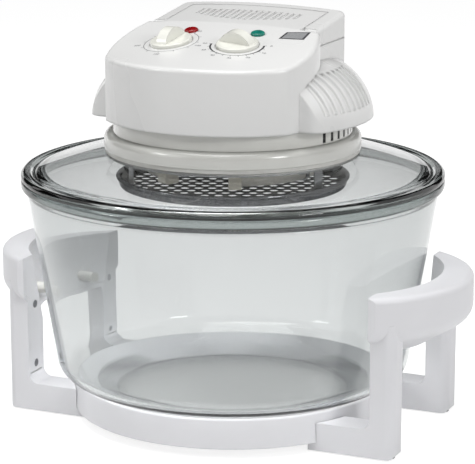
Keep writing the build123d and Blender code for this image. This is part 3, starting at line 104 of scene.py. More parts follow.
# injection-moulded ABS and polypropylene: one body colour, a faint drift from the flow of the melt, edges
# eased by the mould, and either a fine spark-eroded grain or a polished skin that takes soft reflections
def mouldedPlastic(name, look):
    material, tree, surface = newMaterial(name, {
        "IOR": 1.5, "Coat Weight": look["coat"], "Coat Roughness": 0.12})
    place = mottle(tree, surface, look, detail=2.0)
    grain = addNode(tree, "ShaderNodeTexNoise", inputs={
        "Vector": place, "Scale": 1 / (look["grainSize"] * mm), "Detail": 3.0})
    eased = addNode(tree, "ShaderNodeBevel", {"samples": 4}, {"Radius": look["edge"] * mm})
    grainDepth = 0.05 * mm
    bump = addNode(tree, "ShaderNodeBump", inputs={
        "Height": grain, "Strength": look["grain"], "Distance": grainDepth, "Normal": eased})
    tree.links.new(bump.outputs["Normal"], surface.inputs["Normal"])
    return material


standPlastic = mouldedPlastic("polypropyleneSatinWhite", {
    "colour": "#E3E3E6", "shade": "#DFDFE2", "patch": 60, "rough": (0.37, 0.47),
    "grainSize": 0.6, "grain": 0.25, "coat": 0.0, "edge": 0.8})
headPlastic = mouldedPlastic("absGlossWhite", {
    "colour": "#E5E5E4", "shade": "#E4E4E3", "patch": 90, "rough": (0.23, 0.33),
    "grainSize": 0.9, "grain": 0.08, "coat": 0.2, "edge": 2.5})
collarPlastic = mouldedPlastic("heatproofPlasticCream", {
    "colour": "#D9D9D4", "shade": "#D4D4CF", "patch": 50, "rough": (0.17, 0.27),
    "grainSize": 0.9, "grain": 0.06, "coat": 0.5, "edge": 0.8})
knobPlastic = mouldedPlastic("absKnobWhite", {
    "colour": "#EBEBE3", "shade": "#E6E6DE", "patch": 30, "rough": (0.2, 0.3),
    "grainSize": 0.7, "grain": 0.08, "coat": 0.4, "edge": 0.5})
blackPlastic = mouldedPlastic("polyamideBlack", {
    "colour": "#1B1B1D", "shade": "#151517", "patch": 20, "rough": (0.45, 0.55),
    "grainSize": 0.5, "grain": 0.3, "coat": 0.0, "edge": 0.2})
ceramicWhite = mouldedPlastic("steatiteCeramic", {
    "colour": "#E4DFD2", "shade": "#D8D2C2", "patch": 8, "rough": (0.65, 0.75),
    "grainSize": 0.4, "grain": 0.5, "coat": 0.0, "edge": 0.2})
darkRubber = mouldedPlastic("rubberBlack", {
    "colour": "#232323", "shade": "#1A1A1A", "patch": 12, "rough": (0.7, 0.8),
    "grainSize": 0.5, "grain": 0.5, "coat": 0.0, "edge": 0.3})
paleSilicone = mouldedPlastic("siliconePale", {
    "colour": "#DDDCD8", "shade": "#D2D1CC", "patch": 12, "rough": (0.5, 0.6),
    "grainSize": 0.6, "grain": 0.3, "coat": 0.0, "edge": 0.4})


# fine rays pressed into the glass where the level floor ends, and the floor itself left as it came off the
# plunger, a little dull
def pressFloor(tree, surface, floor, parts, radius):
    angle = addNode(tree, "ShaderNodeMath", arctan2, {0: parts["Y"], 1: parts["X"]})
    turns = addNode(tree, "ShaderNodeMath", multiply, {0: angle, 1: floor["rays"]})
    ray = addNode(tree, "ShaderNodeMath", sine, {0: turns})
    onRing = addNode(tree, "ShaderNodeMath", compare, {
        0: radius, 1: floor["ring"] * mm, 2: floor["halfWidth"] * mm})
    under = addNode(tree, "ShaderNodeMath", lessThan, {0: parts["Z"], 1: floor["raysBelow"] * mm})
    masked = addNode(tree, "ShaderNodeMath", multiply, {0: onRing, 1: under})
    height = addNode(tree, "ShaderNodeMath", multiply, {0: ray, 1: masked})
    bump = addNode(tree, "ShaderNodeBump", inputs={
        "Height": height, "Strength": floor["strength"], "Distance": floor["rayDepth"] * mm})
    tree.links.new(bump.outputs["Normal"], surface.inputs["Normal"])
    dull = addNode(tree, "ShaderNodeMapRange", inputs={
        "Value": parts["Z"], "From Min": floor["clearAbove"] * mm, "From Max": floor["dullBelow"] * mm,
        "To Max": floor["roughness"]})
    tree.links.new(dull.outputs[0], surface.inputs["Roughness"])


# borosilicate glass, pressed and fire-polished: clear across the wall, green-grey along it, and painted shade
# on the thick
# rim: dark bands by height stand for the dark seen where the rim bends the view back on itself; rim is the
# radii over which the painted shades by height set in
def pressedGlass(name, look):
    material, tree, surface = newMaterial(name, {
        "Transmission Weight": 1.0, "IOR": 1.473, "Roughness": 0.0})
    place = addNode(tree, "ShaderNodeTexCoord").outputs["Object"]
    parts = addNode(tree, "ShaderNodeSeparateXYZ", inputs={"Vector": place}).outputs
    flat = addNode(tree, "ShaderNodeCombineXYZ", inputs={"X": parts["X"], "Y": parts["Y"]})
    radius = addNode(tree, "ShaderNodeVectorMath", length, {0: flat}).outputs["Value"]
    inner, outer = look["rim"]
    outward = addNode(tree, "ShaderNodeMapRange", inputs={
        "Value": radius, "From Min": inner * mm, "From Max": outer * mm})
    low, high = look["paintedRimShades"][0][0], look["paintedRimShades"][-1][0]
    rise = addNode(tree, "ShaderNodeMapRange", inputs={
        "Value": parts["Z"], "From Min": low * mm, "From Max": high * mm})
    ramp = addNode(tree, "ShaderNodeValToRGB", inputs={"Fac": rise})
    stops = ramp.color_ramp.elements
    while len(stops) < len(look["paintedRimShades"]):
        stops.new(0.5)
    for stop, (height, colour) in zip(stops, look["paintedRimShades"]):
        stop.position = (height - low) / (high - low)
        stop.color = linear(colour)
    # painted shade: past the rim radii the glass colour gives way to the dark colours by height
    paintedShadeMix = addNode(tree, "ShaderNodeMix", {"data_type": "RGBA"}, {
        "Factor": outward, 6: linear(look["colour"]), 7: ramp})
    tree.links.new(paintedShadeMix.outputs[2], surface.inputs["Base Color"])
    absorb = addNode(tree, "ShaderNodeVolumeAbsorption", inputs={
        "Color": linear(look["depth"]), "Density": look["density"]})
    tree.links.new(absorb.outputs["Volume"], tree.nodes["Material Output"].inputs["Volume"])
    if "floor" in look:
        pressFloor(tree, surface, look["floor"], parts, radius)
    return material


# the dark colours by height are painted shade on the bowl's rim
bowlGlass = pressedGlass("borosilicateBowl", {
    "colour": "#FCFCFC", "rim": (163.5, 167), "depth": "#8E9C9C", "density": 58.0,
    "paintedRimShades": [(188.5, "#FCFCFC"), (189.8, "#20262A"), (191.0, "#39403D"), (192.2, "#AEB8B4"),
               (197, "#B9C2BF")],
    "floor": {"rays": 260, "ring": 100, "halfWidth": 11, "raysBelow": 30, "strength": 0.5, "rayDepth": 0.18,
              "clearAbove": 32, "dullBelow": 23, "roughness": 0.2}})
# the near-black colours by height are painted shade on the lid's bead
lidGlass = pressedGlass("borosilicateLid", {
    "colour": "#FDFDFD", "rim": (165.8, 168.2), "depth": "#8E9C9C", "density": 26.0,
    "paintedRimShades": [(196.5, "#FDFDFD"), (197.2, "#0C0F0E"), (199.5, "#0C0F0E"), (200.4, "#9AA29F"),
               (203.1, "#E0E4E2")]})


# drawn quartz tube, frosted outside: milky, with cloudier patches where the frosting bit deeper
def frostedQuartz(name, look):
    material, tree, surface = newMaterial(name, {"Transmission Weight": 0.45, "IOR": 1.458})
    mottle(tree, surface, look, detail=3.0)
    return material


quartzGlass = frostedQuartz("quartzFrosted", {
    "colour": "#F2EFE8", "shade": "#E6E2D8", "patch": 2.5, "rough": (0.26, 0.4)})


# plated, rolled and pressed metals: bare metal colour (darkened as painted shade for the chrome and the
# grille), roughness and fine marks from the sheet; an edge below 1 keeps a very low view of the metal from
# going white, and dims its reflection as painted shade
def sheetMetal(name, look):
    edge = look.get("edge", 1.0)
    material, tree, surface = newMaterial(name, {"Metallic": 1.0, "Specular Tint": (edge, edge, edge, 1)})
    mottle(tree, surface, look, detail=4.0)
    return material


# painted shade: the chrome gets a dark grey colour and a dimmed edge for the dark it mirrors under the head
chromePlate = sheetMetal("chromePlate", {
    "colour": "#6E6F71", "shade": "#626365", "patch": 6, "rough": (0.06, 0.14), "edge": 0.35})
pressedSteel = sheetMetal("zincSteelSheet", {
    "colour": "#9B9C9E", "shade": "#85868A", "patch": 2, "stretch": (1, 1, 4), "rough": (0.25, 0.42)})
# painted shade: the grille steel is darkened and its reflection nearly put out by the edge, for the shade
# under the head
grilleSteel = sheetMetal("perforatedSteel", {
    "colour": "#3A3B3E", "shade": "#2C2D2F", "patch": 3, "rough": (0.2, 0.38), "edge": 0.06})
screwSteel = sheetMetal("zincScrewSteel", {
    "colour": "#A4A5A8", "shade": "#939498", "patch": 1, "rough": (0.3, 0.5)})
spunAluminium = sheetMetal("spunAluminium", {
    "colour": "#B9BABC", "shade": "#A6A7AA", "patch": 1.5, "stretch": (1, 1, 6), "rough": (0.16, 0.3)})
coreSteel = sheetMetal("laminatedSteel", {
    "colour": "#6B6C70", "shade": "#4E4F53", "patch": 0.5, "stretch": (0.1, 0.1, 2), "rough": (0.4, 0.6)})
copperWire = sheetMetal("enamelledCopper", {
    "colour": "#B5652F", "shade": "#8F4A20", "patch": 0.5, "stretch": (0.2, 2, 2), "rough": (0.25, 0.4)})


# tinted acrylic lens over a neon lamp: deep colour, satin skin, a little see-through
def tintedLens(name, look):
    material, tree, surface = newMaterial(name, {
        "Transmission Weight": 0.1, "IOR": 1.49, "Coat Weight": 0.1, "Coat Roughness": 0.05})
    mottle(tree, surface, look, detail=2.0)
    return material


redLens = tintedLens("acrylicRed", {
    "colour": "#A2000A", "shade": "#850006", "patch": 4, "rough": (0.24, 0.36)})
greenLens = tintedLens("acrylicGreen", {
    "colour": "#0F8474", "shade": "#0A7062", "patch": 4, "rough": (0.24, 0.36)})


# pad-printed ink and printed foil: thin, matt, slightly uneven
def printedInk(name, look):
    material, tree, surface = newMaterial(name, {"Roughness": look["roughness"]})
    mottle(tree, surface, look, detail=2.0)
    return material


dialInk = printedInk("padPrintGrey", {
    "colour": "#6A6A6E", "shade": "#4C4C50", "patch": 1.5, "roughness": 0.6})
darkInk = printedInk("padPrintDark", {
    "colour": "#3A3A3E", "shade": "#2A2A2E", "patch": 1.5, "roughness": 0.55})
foilInk = printedInk("foilLabelSilver", {
    "colour": "#98999A", "shade": "#8A8B8D", "patch": 1.5, "roughness": 0.4})

finishes = {
    standPlastic: ["base_ring", "side_frame_right", "side_frame_left", "frame_cover_right",
                   "frame_cover_left"],
    paleSilicone: ["bowl_bumpers", "lid_gasket"],
    darkRubber: ["rubber_feet"],
    headPlastic: ["head_cover", "head_base", "safety_handle"],
    collarPlastic: ["lid_collar", "vent_neck"],
    knobPlastic: ["temperature_knob", "timer_knob"],
    blackPlastic: ["thermal_cutout", "cooling_fan", "mains_inlet", "safety_switch", "thermostat", "timer"],
    ceramicWhite: ["tube_end_caps"],
    chromePlate: ["guard_rim"],
    pressedSteel: ["guard_brackets", "tube_clips", "motor_plate", "motor_spacers", "motor_screws", "fan_nut",
                   "fan_shaft", "motor_bracket_upper", "motor_bracket_lower", "collar_screws", "handle_pins",
                   "temperature_spindle", "timer_spindle"],
    screwSteel: ["ring_screws", "frame_screws", "housing_screws"],
    spunAluminium: ["reflector", "circulation_fan"],
    coreSteel: ["motor_core", "motor_rotor"],
    copperWire: ["motor_coil"],
    quartzGlass: ["halogen_tube"],
    redLens: ["power_lamp"],
    greenLens: ["heating_lamp"],
    bowlGlass: ["glass_bowl"],
    lidGlass: ["glass_lid"],
    grilleSteel: ["guard_grille"],
}
for material, names in finishes.items():
    for name in names:
        for slot in cad[name].material_slots:
            slot.material = material
print("materials on", sum(len(names) for names in finishes.values()), "nodes")


def newPiece(name, mesh, material, body, smooth=True):
    piece = bpy.data.objects.new(name, mesh)
    bpy.context.scene.collection.objects.link(piece)
    mesh.materials.clear()
    mesh.materials.append(material)
    for face in mesh.polygons:
        face.use_smooth = smooth
        face.material_index = 0
    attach(piece, body)
    return piece


# corners are (radius, height, rounding) in mm, in order along the section; the two ends stay sharp
def roundedSection(corners, steps=8):
    points = []
    for i, (r, z, rounding) in enumerate(corners):
        here = Vector((r, z))
        if rounding == 0 or i in (0, len(corners) - 1):
            points.append(here)
            continue
        before = (Vector(corners[i - 1][:2]) - here).normalized()
        after = (Vector(corners[i + 1][:2]) - here).normalized()
        half = before.angle(after) / 2
        start = here + before * rounding / tan(half)
        end = here + after * rounding / tan(half)
        centre = here + (before + after).normalized() * rounding / sin(half)
        arm = start - centre
        turn = arm.angle_signed(end - centre)
        for k in range(steps + 1):
            a = -turn * k / steps
            spun = Vector((arm.x * cos(a) - arm.y * sin(a), arm.x * sin(a) + arm.y * cos(a)))
            points.append(centre + spun)
    return points


# turns a section of (radius, height) points round the upright axis
def turned(name, points, closed, segments=192):
    shape = bmesh.new()
    rings = []
    for point in points:
        r, z = point[0] * mm, point[1] * mm
        angles = [2 * pi * k / segments for k in range(segments if r else 1)]
        rings.append([shape.verts.new((r * cos(a), r * sin(a), z)) for a in angles])
    pairs = list(zip(rings, rings[1:] + rings[:1])) if closed else list(zip(rings, rings[1:]))
    for low, high in pairs:
        for k in range(segments):
            j = (k + 1) % segments
            corners = [low[k % len(low)], low[j % len(low)], high[j % len(high)], high[k % len(high)]]
            corners = list(dict.fromkeys(corners))
            if len(corners) > 2:
                shape.faces.new(corners)
    bmesh.ops.recalc_face_normals(shape, faces=shape.faces)
    mesh = bpy.data.meshes.new(name)
    shape.to_mesh(mesh)
    shape.free()
    return mesh


# pressed bowl: 4.5 mm wall, thick rolled rim, sloping floor with a soft knee
bowlSize = {"corners": [
    (0, 18, 0), (95, 18, 14), (142.5, 39.4, 18), (165.8, 190, 1.2), (170, 190, 2.2), (170, 197, 2.2),
    (158.5, 197, 2.2), (158.5, 190.4, 3), (160.5, 185.5, 5), (138.43, 42.5, 13.5), (94.02, 22.5, 10),
    (0, 22.5, 0)]}
bowlMesh = turned("glassBowl", roundedSection(bowlSize["corners"]), closed=False)
glassBowl = newPiece("glassBowl", bowlMesh, bowlGlass, "bowl")
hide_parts("glass_bowl")
glassBowl.visible_shadow = False  # clear glass lets the lamps through

# domed lid: a rounded bead at the edge with a groove inside it, and a lip that locates it in the bowl
lidSize = {
    "domeRadius": 500, "holeRadius": 97, "holeTop": 219, "wall": 4, "domeEdge": 158.2, "steps": 24,
    "lipRadius": 151.5, "lipTop": 199.5, "beadSteps": 6,
    "bead": [(159.2, 200.6, 0.8), (160.4, 201.4, 0.6), (162.2, 203.1, 2.0), (167.6, 203.1, 3.2),
             (170, 200.4, 2.0), (170, 197.3, 1.4), (156.2, 197.3, 0.8), (155, 192, 1.2), (151.5, 192, 1.2)]}


def domeRun(start, end, drop):  # points along the dome between two radii, lowered by drop
    full, hole, steps = lidSize["domeRadius"], lidSize["holeRadius"], lidSize["steps"]
    radii = [start + (end - start) * k / steps for k in range(steps + 1)]
    return [(r, lidSize["holeTop"] + sqrt(full**2 - r**2) - sqrt(full**2 - hole**2) - drop) for r in radii]


lidTop = domeRun(lidSize["holeRadius"], lidSize["domeEdge"], 0)
beadCorners = [(*lidTop[-1], 0)] + lidSize["bead"] + [(lidSize["lipRadius"], lidSize["lipTop"], 0)]
lidBead = roundedSection(beadCorners, lidSize["beadSteps"])
lidUnder = domeRun(lidSize["lipRadius"], lidSize["holeRadius"], lidSize["wall"])
lidMesh = turned("glassLid", lidTop + [tuple(point) for point in lidBead[1:]] + lidUnder, closed=True)
glassLid = newPiece("glassLid", lidMesh, lidGlass, "lid")
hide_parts("glass_lid")
glassLid.visible_shadow = False
print("glass turned")


def newTree(name, inputs):
    tree = bpy.data.node_groups.new(name, "GeometryNodeTree")
    for label, kind in inputs.items():
        tree.interface.new_socket(label, in_out="INPUT", socket_type="NodeSocket" + kind)
    tree.interface.new_socket("Geometry", in_out="OUTPUT", socket_type="NodeSocketGeometry")
    return tree, addNode(tree, "NodeGroupInput").outputs


# runs a tree with its inputs set, and gives the plain mesh that it makes
def grownMesh(name, tree, values):
    host = bpy.data.objects.new(name, bpy.data.meshes.new(name))
    bpy.context.scene.collection.objects.link(host)
    modifier = host.modifiers.new(name, "NODES")
    modifier.node_group = tree
    for item in tree.interface.items_tree:
        if item.in_out == "INPUT" and item.name in values:
            modifier[item.identifier] = values[item.name]
    graph = bpy.context.evaluated_depsgraph_get()
    mesh = bpy.data.meshes.new_from_object(host.evaluated_get(graph))
    host.modifiers.remove(modifier)
    bpy.data.objects.remove(host)
    return mesh


def endTree(tree, last, material):  # every tree ends in real geometry with its material on
    real = addNode(tree, "GeometryNodeRealizeInstances", inputs={"Geometry": last})
    coated = addNode(tree, "GeometryNodeSetMaterial", inputs={"Geometry": real, "Material": material})
    addNode(tree, "NodeGroupOutput", inputs={"Geometry": coated})
    return tree


# perforated sheet: staggered round holes cut in a disc, with a plain border
def perforatedTree():
    tree, given = newTree("perforatedSheet", {
        "Radius": "Float", "Border": "Float", "Hole Radius": "Float", "Pitch": "Float", "Thickness": "Float",
        "Rows": "Int", "Hole Sides": "Int", "Rim Sides": "Int", "Merge": "Float", "Material": "Material"})
    rowPitch = addNode(tree, "ShaderNodeMath", multiply, {0: given["Pitch"], 1: sqrt(3) / 2})
    spans = addNode(tree, "ShaderNodeMath", subtract, {0: given["Rows"], 1: 1.0})
    wide = addNode(tree, "ShaderNodeMath", multiply, {0: given["Pitch"], 1: spans})
    deep = addNode(tree, "ShaderNodeMath", multiply, {0: rowPitch, 1: spans})
    grid = addNode(tree, "GeometryNodeMeshGrid", inputs={
        "Size X": wide, "Size Y": deep, "Vertices X": given["Rows"], "Vertices Y": given["Rows"]})
    place = addNode(tree, "GeometryNodeInputPosition")
    parts = addNode(tree, "ShaderNodeSeparateXYZ", inputs={"Vector": place}).outputs
    along = addNode(tree, "ShaderNodeMath", divide, {0: parts["Y"], 1: rowPitch})
    row = addNode(tree, "ShaderNodeMath", rounded, {0: along})
    odd = addNode(tree, "ShaderNodeMath", modulo, {0: row, 1: 2.0})
    halfPitch = addNode(tree, "ShaderNodeMath", multiply, {0: given["Pitch"], 1: 0.5})
    step = addNode(tree, "ShaderNodeMath", multiply, {0: odd, 1: halfPitch})
    shift = addNode(tree, "ShaderNodeCombineXYZ", inputs={"X": step})
    staggered = addNode(tree, "GeometryNodeSetPosition", inputs={"Geometry": grid, "Offset": shift})
    reach = addNode(tree, "ShaderNodeVectorMath", length, {0: place}).outputs["Value"]
    field = addNode(tree, "ShaderNodeMath", subtract, {0: given["Radius"], 1: given["Border"]})
    limit = addNode(tree, "ShaderNodeMath", subtract, {0: field, 1: given["Hole Radius"]})
    inside = addNode(tree, "FunctionNodeCompare", lessThan, {0: reach, 1: limit})
    hole = addNode(tree, "GeometryNodeCurvePrimitiveCircle", inputs={
        "Resolution": given["Hole Sides"], "Radius": given["Hole Radius"]})
    holes = addNode(tree, "GeometryNodeInstanceOnPoints", inputs={
        "Points": staggered, "Selection": inside, "Instance": hole})
    outline = addNode(tree, "GeometryNodeCurvePrimitiveCircle", inputs={
        "Resolution": given["Rim Sides"], "Radius": given["Radius"]})
    cut = addNode(tree, "GeometryNodeRealizeInstances", inputs={"Geometry": holes})
    curves = addNode(tree, "GeometryNodeJoinGeometry")
    for part in (outline, cut):
        tree.links.new(part.outputs[0], curves.inputs[0])
    filled = addNode(tree, "GeometryNodeFillCurve", inputs={"Curve": curves})
    raised = addNode(tree, "GeometryNodeExtrudeMesh", inputs={
        "Mesh": filled, "Offset Scale": given["Thickness"], "Individual": False})
    under = addNode(tree, "GeometryNodeFlipFaces", inputs={"Mesh": filled})
    sheet = addNode(tree, "GeometryNodeJoinGeometry")
    for part in (raised, under):
        tree.links.new(part.outputs[0], sheet.inputs[0])
    merged = addNode(tree, "GeometryNodeMergeByDistance", inputs={
        "Geometry": sheet, "Distance": given["Merge"]})
    return endTree(tree, merged, given["Material"])


# marks spread evenly along an arc about the z axis, each lying along its radius
def markTree():
    tree, given = newTree("dialMarks", {
        "Radius": "Float", "Count": "Int", "Start": "Float", "Sweep": "Float", "Length": "Float",
        "Width": "Float", "Material": "Material"})
    line = addNode(tree, "GeometryNodeMeshLine", inputs={"Count": given["Count"], "Offset": (0, 0, 0)})
    index = addNode(tree, "GeometryNodeInputIndex")
    gaps = addNode(tree, "ShaderNodeMath", subtract, {0: given["Count"], 1: 1.0})
    step = addNode(tree, "ShaderNodeMath", divide, {0: given["Sweep"], 1: gaps})
    swept = addNode(tree, "ShaderNodeMath", multiply, {0: index, 1: step})
    angle = addNode(tree, "ShaderNodeMath", add, {0: given["Start"], 1: swept})
    across = addNode(tree, "ShaderNodeMath", multiply, {
        0: given["Radius"], 1: addNode(tree, "ShaderNodeMath", cosine, {0: angle})})
    up = addNode(tree, "ShaderNodeMath", multiply, {
        0: given["Radius"], 1: addNode(tree, "ShaderNodeMath", sine, {0: angle})})
    spot = addNode(tree, "ShaderNodeCombineXYZ", inputs={"X": across, "Y": up})
    moved = addNode(tree, "GeometryNodeSetPosition", inputs={"Geometry": line, "Position": spot})
    turn = addNode(tree, "ShaderNodeCombineXYZ", inputs={"Z": angle})
    mark = addNode(tree, "GeometryNodeMeshGrid", inputs={
        "Size X": given["Length"], "Size Y": given["Width"], "Vertices X": 3, "Vertices Y": 2})
    marks = addNode(tree, "GeometryNodeInstanceOnPoints", inputs={
        "Points": moved, "Instance": mark, "Rotation": turn})
    return endTree(tree, marks, given["Material"])


# floor of the guard under the lamp
grilleSize = {"Radius": 89.6 * mm, "Border": 3.0 * mm, "Hole Radius": 3.6 * mm, "Pitch": 10.8 * mm,
              "Thickness": 0.5 * mm, "Rows": 23, "Hole Sides": 12, "Rim Sides": 128, "Merge": 0.01 * mm,
              "Material": grilleSteel}
grillePlace = {"height": 190.2, "turned": 24}
grilleMesh = grownMesh("guardSheet", perforatedTree(), grilleSize)
grilleMesh.transform(Matrix.Translation((0, 0, grillePlace["height"] * mm))
                     @ Matrix.Rotation(radians(grillePlace["turned"]), 4, "Z"))
guardSheet = newPiece("guardSheet", grilleMesh, grilleSteel, "lid", smooth=False)
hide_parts("guard_grille")
print("guard sheet:", len(grilleMesh.polygons), "faces")


# print on the deck: flat shapes dropped straight down on the roof of the head cover
roofTree = BVHTree.FromObject(cad["head_cover"], bpy.context.evaluated_depsgraph_get())
dropFrom = 360  # mm, above the head


def onRoof(mesh, at, lift):  # lift is how thick the print lies, in mm
    for vertex in mesh.vertices:
        start = Vector((vertex.co.x + at[0] * mm, vertex.co.y + at[1] * mm, dropFrom * mm))
        hit = roofTree.ray_cast(start, Vector((0, 0, -1)))[0]
        vertex.co = hit + Vector((0, 0, lift * mm))
    return mesh


def flatMesh(name, points, faces):
    mesh = bpy.data.meshes.new(name)
    mesh.from_pydata([(x * mm, y * mm, 0) for x, y in points], [], faces)
    return mesh


def gridFaces(across, down):  # faces of a grid whose points run row by row
    wide = across + 1
    return [(j * wide + i, j * wide + i + 1, (j + 1) * wide + i + 1, (j + 1) * wide + i)
            for j in range(down) for i in range(across)]


# line of a dial, wider by up to thick mm towards both its ends
def ringMesh(name, dial, steps=120):
    points = []
    for k in range(steps + 1):
        angle = radians(dial["start"] + dial["sweep"] * k / steps)
        half = (dial["width"] + dial["thick"] * abs(cos(pi * k / steps)) ** 1.5) / 2
        points += [((dial["ring"] - half) * cos(angle), (dial["ring"] - half) * sin(angle)),
                   ((dial["ring"] + half) * cos(angle), (dial["ring"] + half) * sin(angle))]
    return flatMesh(name, points, [(2 * k, 2 * k + 1, 2 * k + 3, 2 * k + 2) for k in range(steps)])


def textMesh(name, words, size, at):
    curve = bpy.data.curves.new(name, "FONT")
    curve.body = words
    curve.size = size * mm
    curve.align_x = "CENTER"
    curve.align_y = "CENTER"
    host = bpy.data.objects.new(name, curve)
    bpy.context.scene.collection.objects.link(host)
    graph = bpy.context.evaluated_depsgraph_get()
    mesh = bpy.data.meshes.new_from_object(host.evaluated_get(graph))
    bpy.data.objects.remove(host)
    for vertex in mesh.vertices:
        vertex.co += Vector((at[0] * mm, at[1] * mm, 0))
    return mesh


def joinedMesh(name, meshes):
    shape = bmesh.new()
    for mesh in meshes:
        shape.from_mesh(mesh)
    mesh = bpy.data.meshes.new(name)
    shape.to_mesh(mesh)
    shape.free()
    return mesh


dials = {
    "temperature": {
        "at": (-31, -48), "ring": 21.5, "width": 0.45, "thick": 0.0, "start": 60, "sweep": -300, "marks": 11,
        "numbers": ["60", "100", "150", "200", "250"], "numberRing": 27.0, "ink": dialInk},
    "timer": {
        "at": (25, -47), "ring": 21.0, "width": 0.5, "thick": 1.0, "start": 15, "sweep": -190, "marks": 13,
        "numbers": ["0", "10", "20", "30", "40", "50", "60"], "numberRing": 26.5, "ink": darkInk},
}
dialPrint = {"markOut": 1.3, "markLength": 1.8, "markWidth": 0.45, "numberSize": 3.6, "lift": 0.06}
dialTree = markTree()
for name, dial in dials.items():
    parts = [ringMesh(name, dial)]
    parts.append(grownMesh(name, dialTree, {
        "Radius": (dial["ring"] + dialPrint["markOut"]) * mm, "Count": dial["marks"],
        "Start": radians(dial["start"]), "Sweep": radians(dial["sweep"]),
        "Length": dialPrint["markLength"] * mm, "Width": dialPrint["markWidth"] * mm, "Material": dialInk}))
    for k, words in enumerate(dial["numbers"]):
        angle = radians(dial["start"] + dial["sweep"] * k / (len(dial["numbers"]) - 1))
        spot = (dial["numberRing"] * cos(angle), dial["numberRing"] * sin(angle))
        parts.append(textMesh(name, words, dialPrint["numberSize"], spot))
    printed = onRoof(joinedMesh(name + "Print", parts), dial["at"], dialPrint["lift"])
    newPiece(name + "Print", printed, dial["ink"], "lid", smooth=False)

# bare foil label beside the timer dial, a dark border with a silver field on it
labelSize = {"corners": [(50, -25), (69, -20), (69, -5), (51, -11)], "across": 12, "down": 8}
labelParts = {
    "labelBorder": {"inset": 0.0, "lift": 0.06, "ink": darkInk, "slot": "dark_plastic"},
    "labelField": {"inset": 0.09, "lift": 0.12, "ink": foilInk, "slot": "plain_steel"},
}


def labelMesh(name, inset):  # inset is a share of the label's width and height
    a, b, c, d = [Vector(p) for p in labelSize["corners"]]
    across, down = labelSize["across"], labelSize["down"]
    points = []
    for j in range(down + 1):
        for i in range(across + 1):
            u = inset + (1 - 2 * inset) * i / across
            v = inset + (1 - 2 * inset) * j / down
            points.append(tuple((a * (1 - u) + b * u) * (1 - v) + (d * (1 - u) + c * u) * v))
    return flatMesh(name, points, gridFaces(across, down))


for name, part in labelParts.items():
    printed = onRoof(labelMesh(name, part["inset"]), (0, 0), part["lift"])
    newPiece(name, printed, part["ink"], "lid")
print("deck printed")

# painted shade: a black sheet just inside the neck stands for the dark seen through its slots
neckSlotShade = {"radius": 95.2, "low": 235.1, "high": 243.2, "wall": 0.3}
shadeInside = neckSlotShade["radius"] - neckSlotShade["wall"]
shadeSection = [(shadeInside, neckSlotShade["low"]), (neckSlotShade["radius"], neckSlotShade["low"]),
                (neckSlotShade["radius"], neckSlotShade["high"]), (shadeInside, neckSlotShade["high"])]
newPiece("paintedNeckShade", turned("paintedNeckShade", shadeSection, closed=True), blackPlastic, "lid")

# pale ceiling that closes the slots in the roof, following the roof's rise and camber a little below it
ceiling = {"halfWidth": 46, "front": 9, "back": 39, "across": 40, "down": 14, "depth": 1.2,
           "roofFront": -3, "roofLength": 75, "roofHeight": 319.5, "roofRise": 9.3, "camber": (900, 860)}


def ceilingMesh(name):
    across, down = ceiling["across"], ceiling["down"]
    points = [(ceiling["halfWidth"] * (2 * i / across - 1),
               ceiling["front"] + (ceiling["back"] - ceiling["front"]) * j / down)
              for j in range(down + 1) for i in range(across + 1)]
    mesh = flatMesh(name, points, gridFaces(across, down))
    frontCurve, backCurve = ceiling["camber"]
    for vertex in mesh.vertices:
        x, y = vertex.co.x / mm, vertex.co.y / mm
        t = (y - ceiling["roofFront"]) / ceiling["roofLength"]
        middle = ceiling["roofHeight"] + t * ceiling["roofRise"]
        frontFall = frontCurve - sqrt(frontCurve**2 - x**2)
        backFall = backCurve - sqrt(backCurve**2 - x**2)
        fall = frontFall * (1 - t) + backFall * t
        vertex.co.z = (middle - fall - ceiling["depth"]) * mm
    return mesh


newPiece("slotCeiling", ceilingMesh("slotCeiling"), headPlastic, "lid")
print("slot shade and slot ceiling placed")

# glass and guard mirror the dark studio, not the pale plastic above them
for name in ("lid_collar", "vent_neck", "head_cover"):
    cad[name].visible_glossy = False

# studio: pale floor, white surroundings, soft lamps, dark cards that only gloss and glass see
studio = {"floorSize": 8.0, "ambient": 0.31, "surroundings": 1.0, "card": "#141414", "floor": "#E8E8E8",
          "seenFloor": "#A8A8A8", "seenGlow": 0.83, "floorThroughGlass": "#BCBCBC", "glowThroughGlass": 0.62}


def seenDirectly(tree):  # 1 where the camera looks, straight, off gloss or through glass
    path = addNode(tree, "ShaderNodeLightPath").outputs
    first = addNode(tree, "ShaderNodeMath", maximum, {0: path["Is Camera Ray"], 1: path["Is Glossy Ray"]})
    return addNode(tree, "ShaderNodeMath", maximum, {0: first, 1: path["Is Transmission Ray"]})


world = bpy.data.worlds.new("studio")
bpy.context.scene.world = world
world.use_nodes = True
sky = world.node_tree
sky.nodes.clear()
white = linear("#FFFFFF")
dim = addNode(sky, "ShaderNodeBackground", inputs={"Color": white, "Strength": studio["ambient"]})
bright = addNode(sky, "ShaderNodeBackground", inputs={"Color": white, "Strength": studio["surroundings"]})
choice = addNode(sky, "ShaderNodeMixShader", inputs={0: seenDirectly(sky), 1: dim, 2: bright})
addNode(sky, "ShaderNodeOutputWorld", inputs={"Surface": choice})

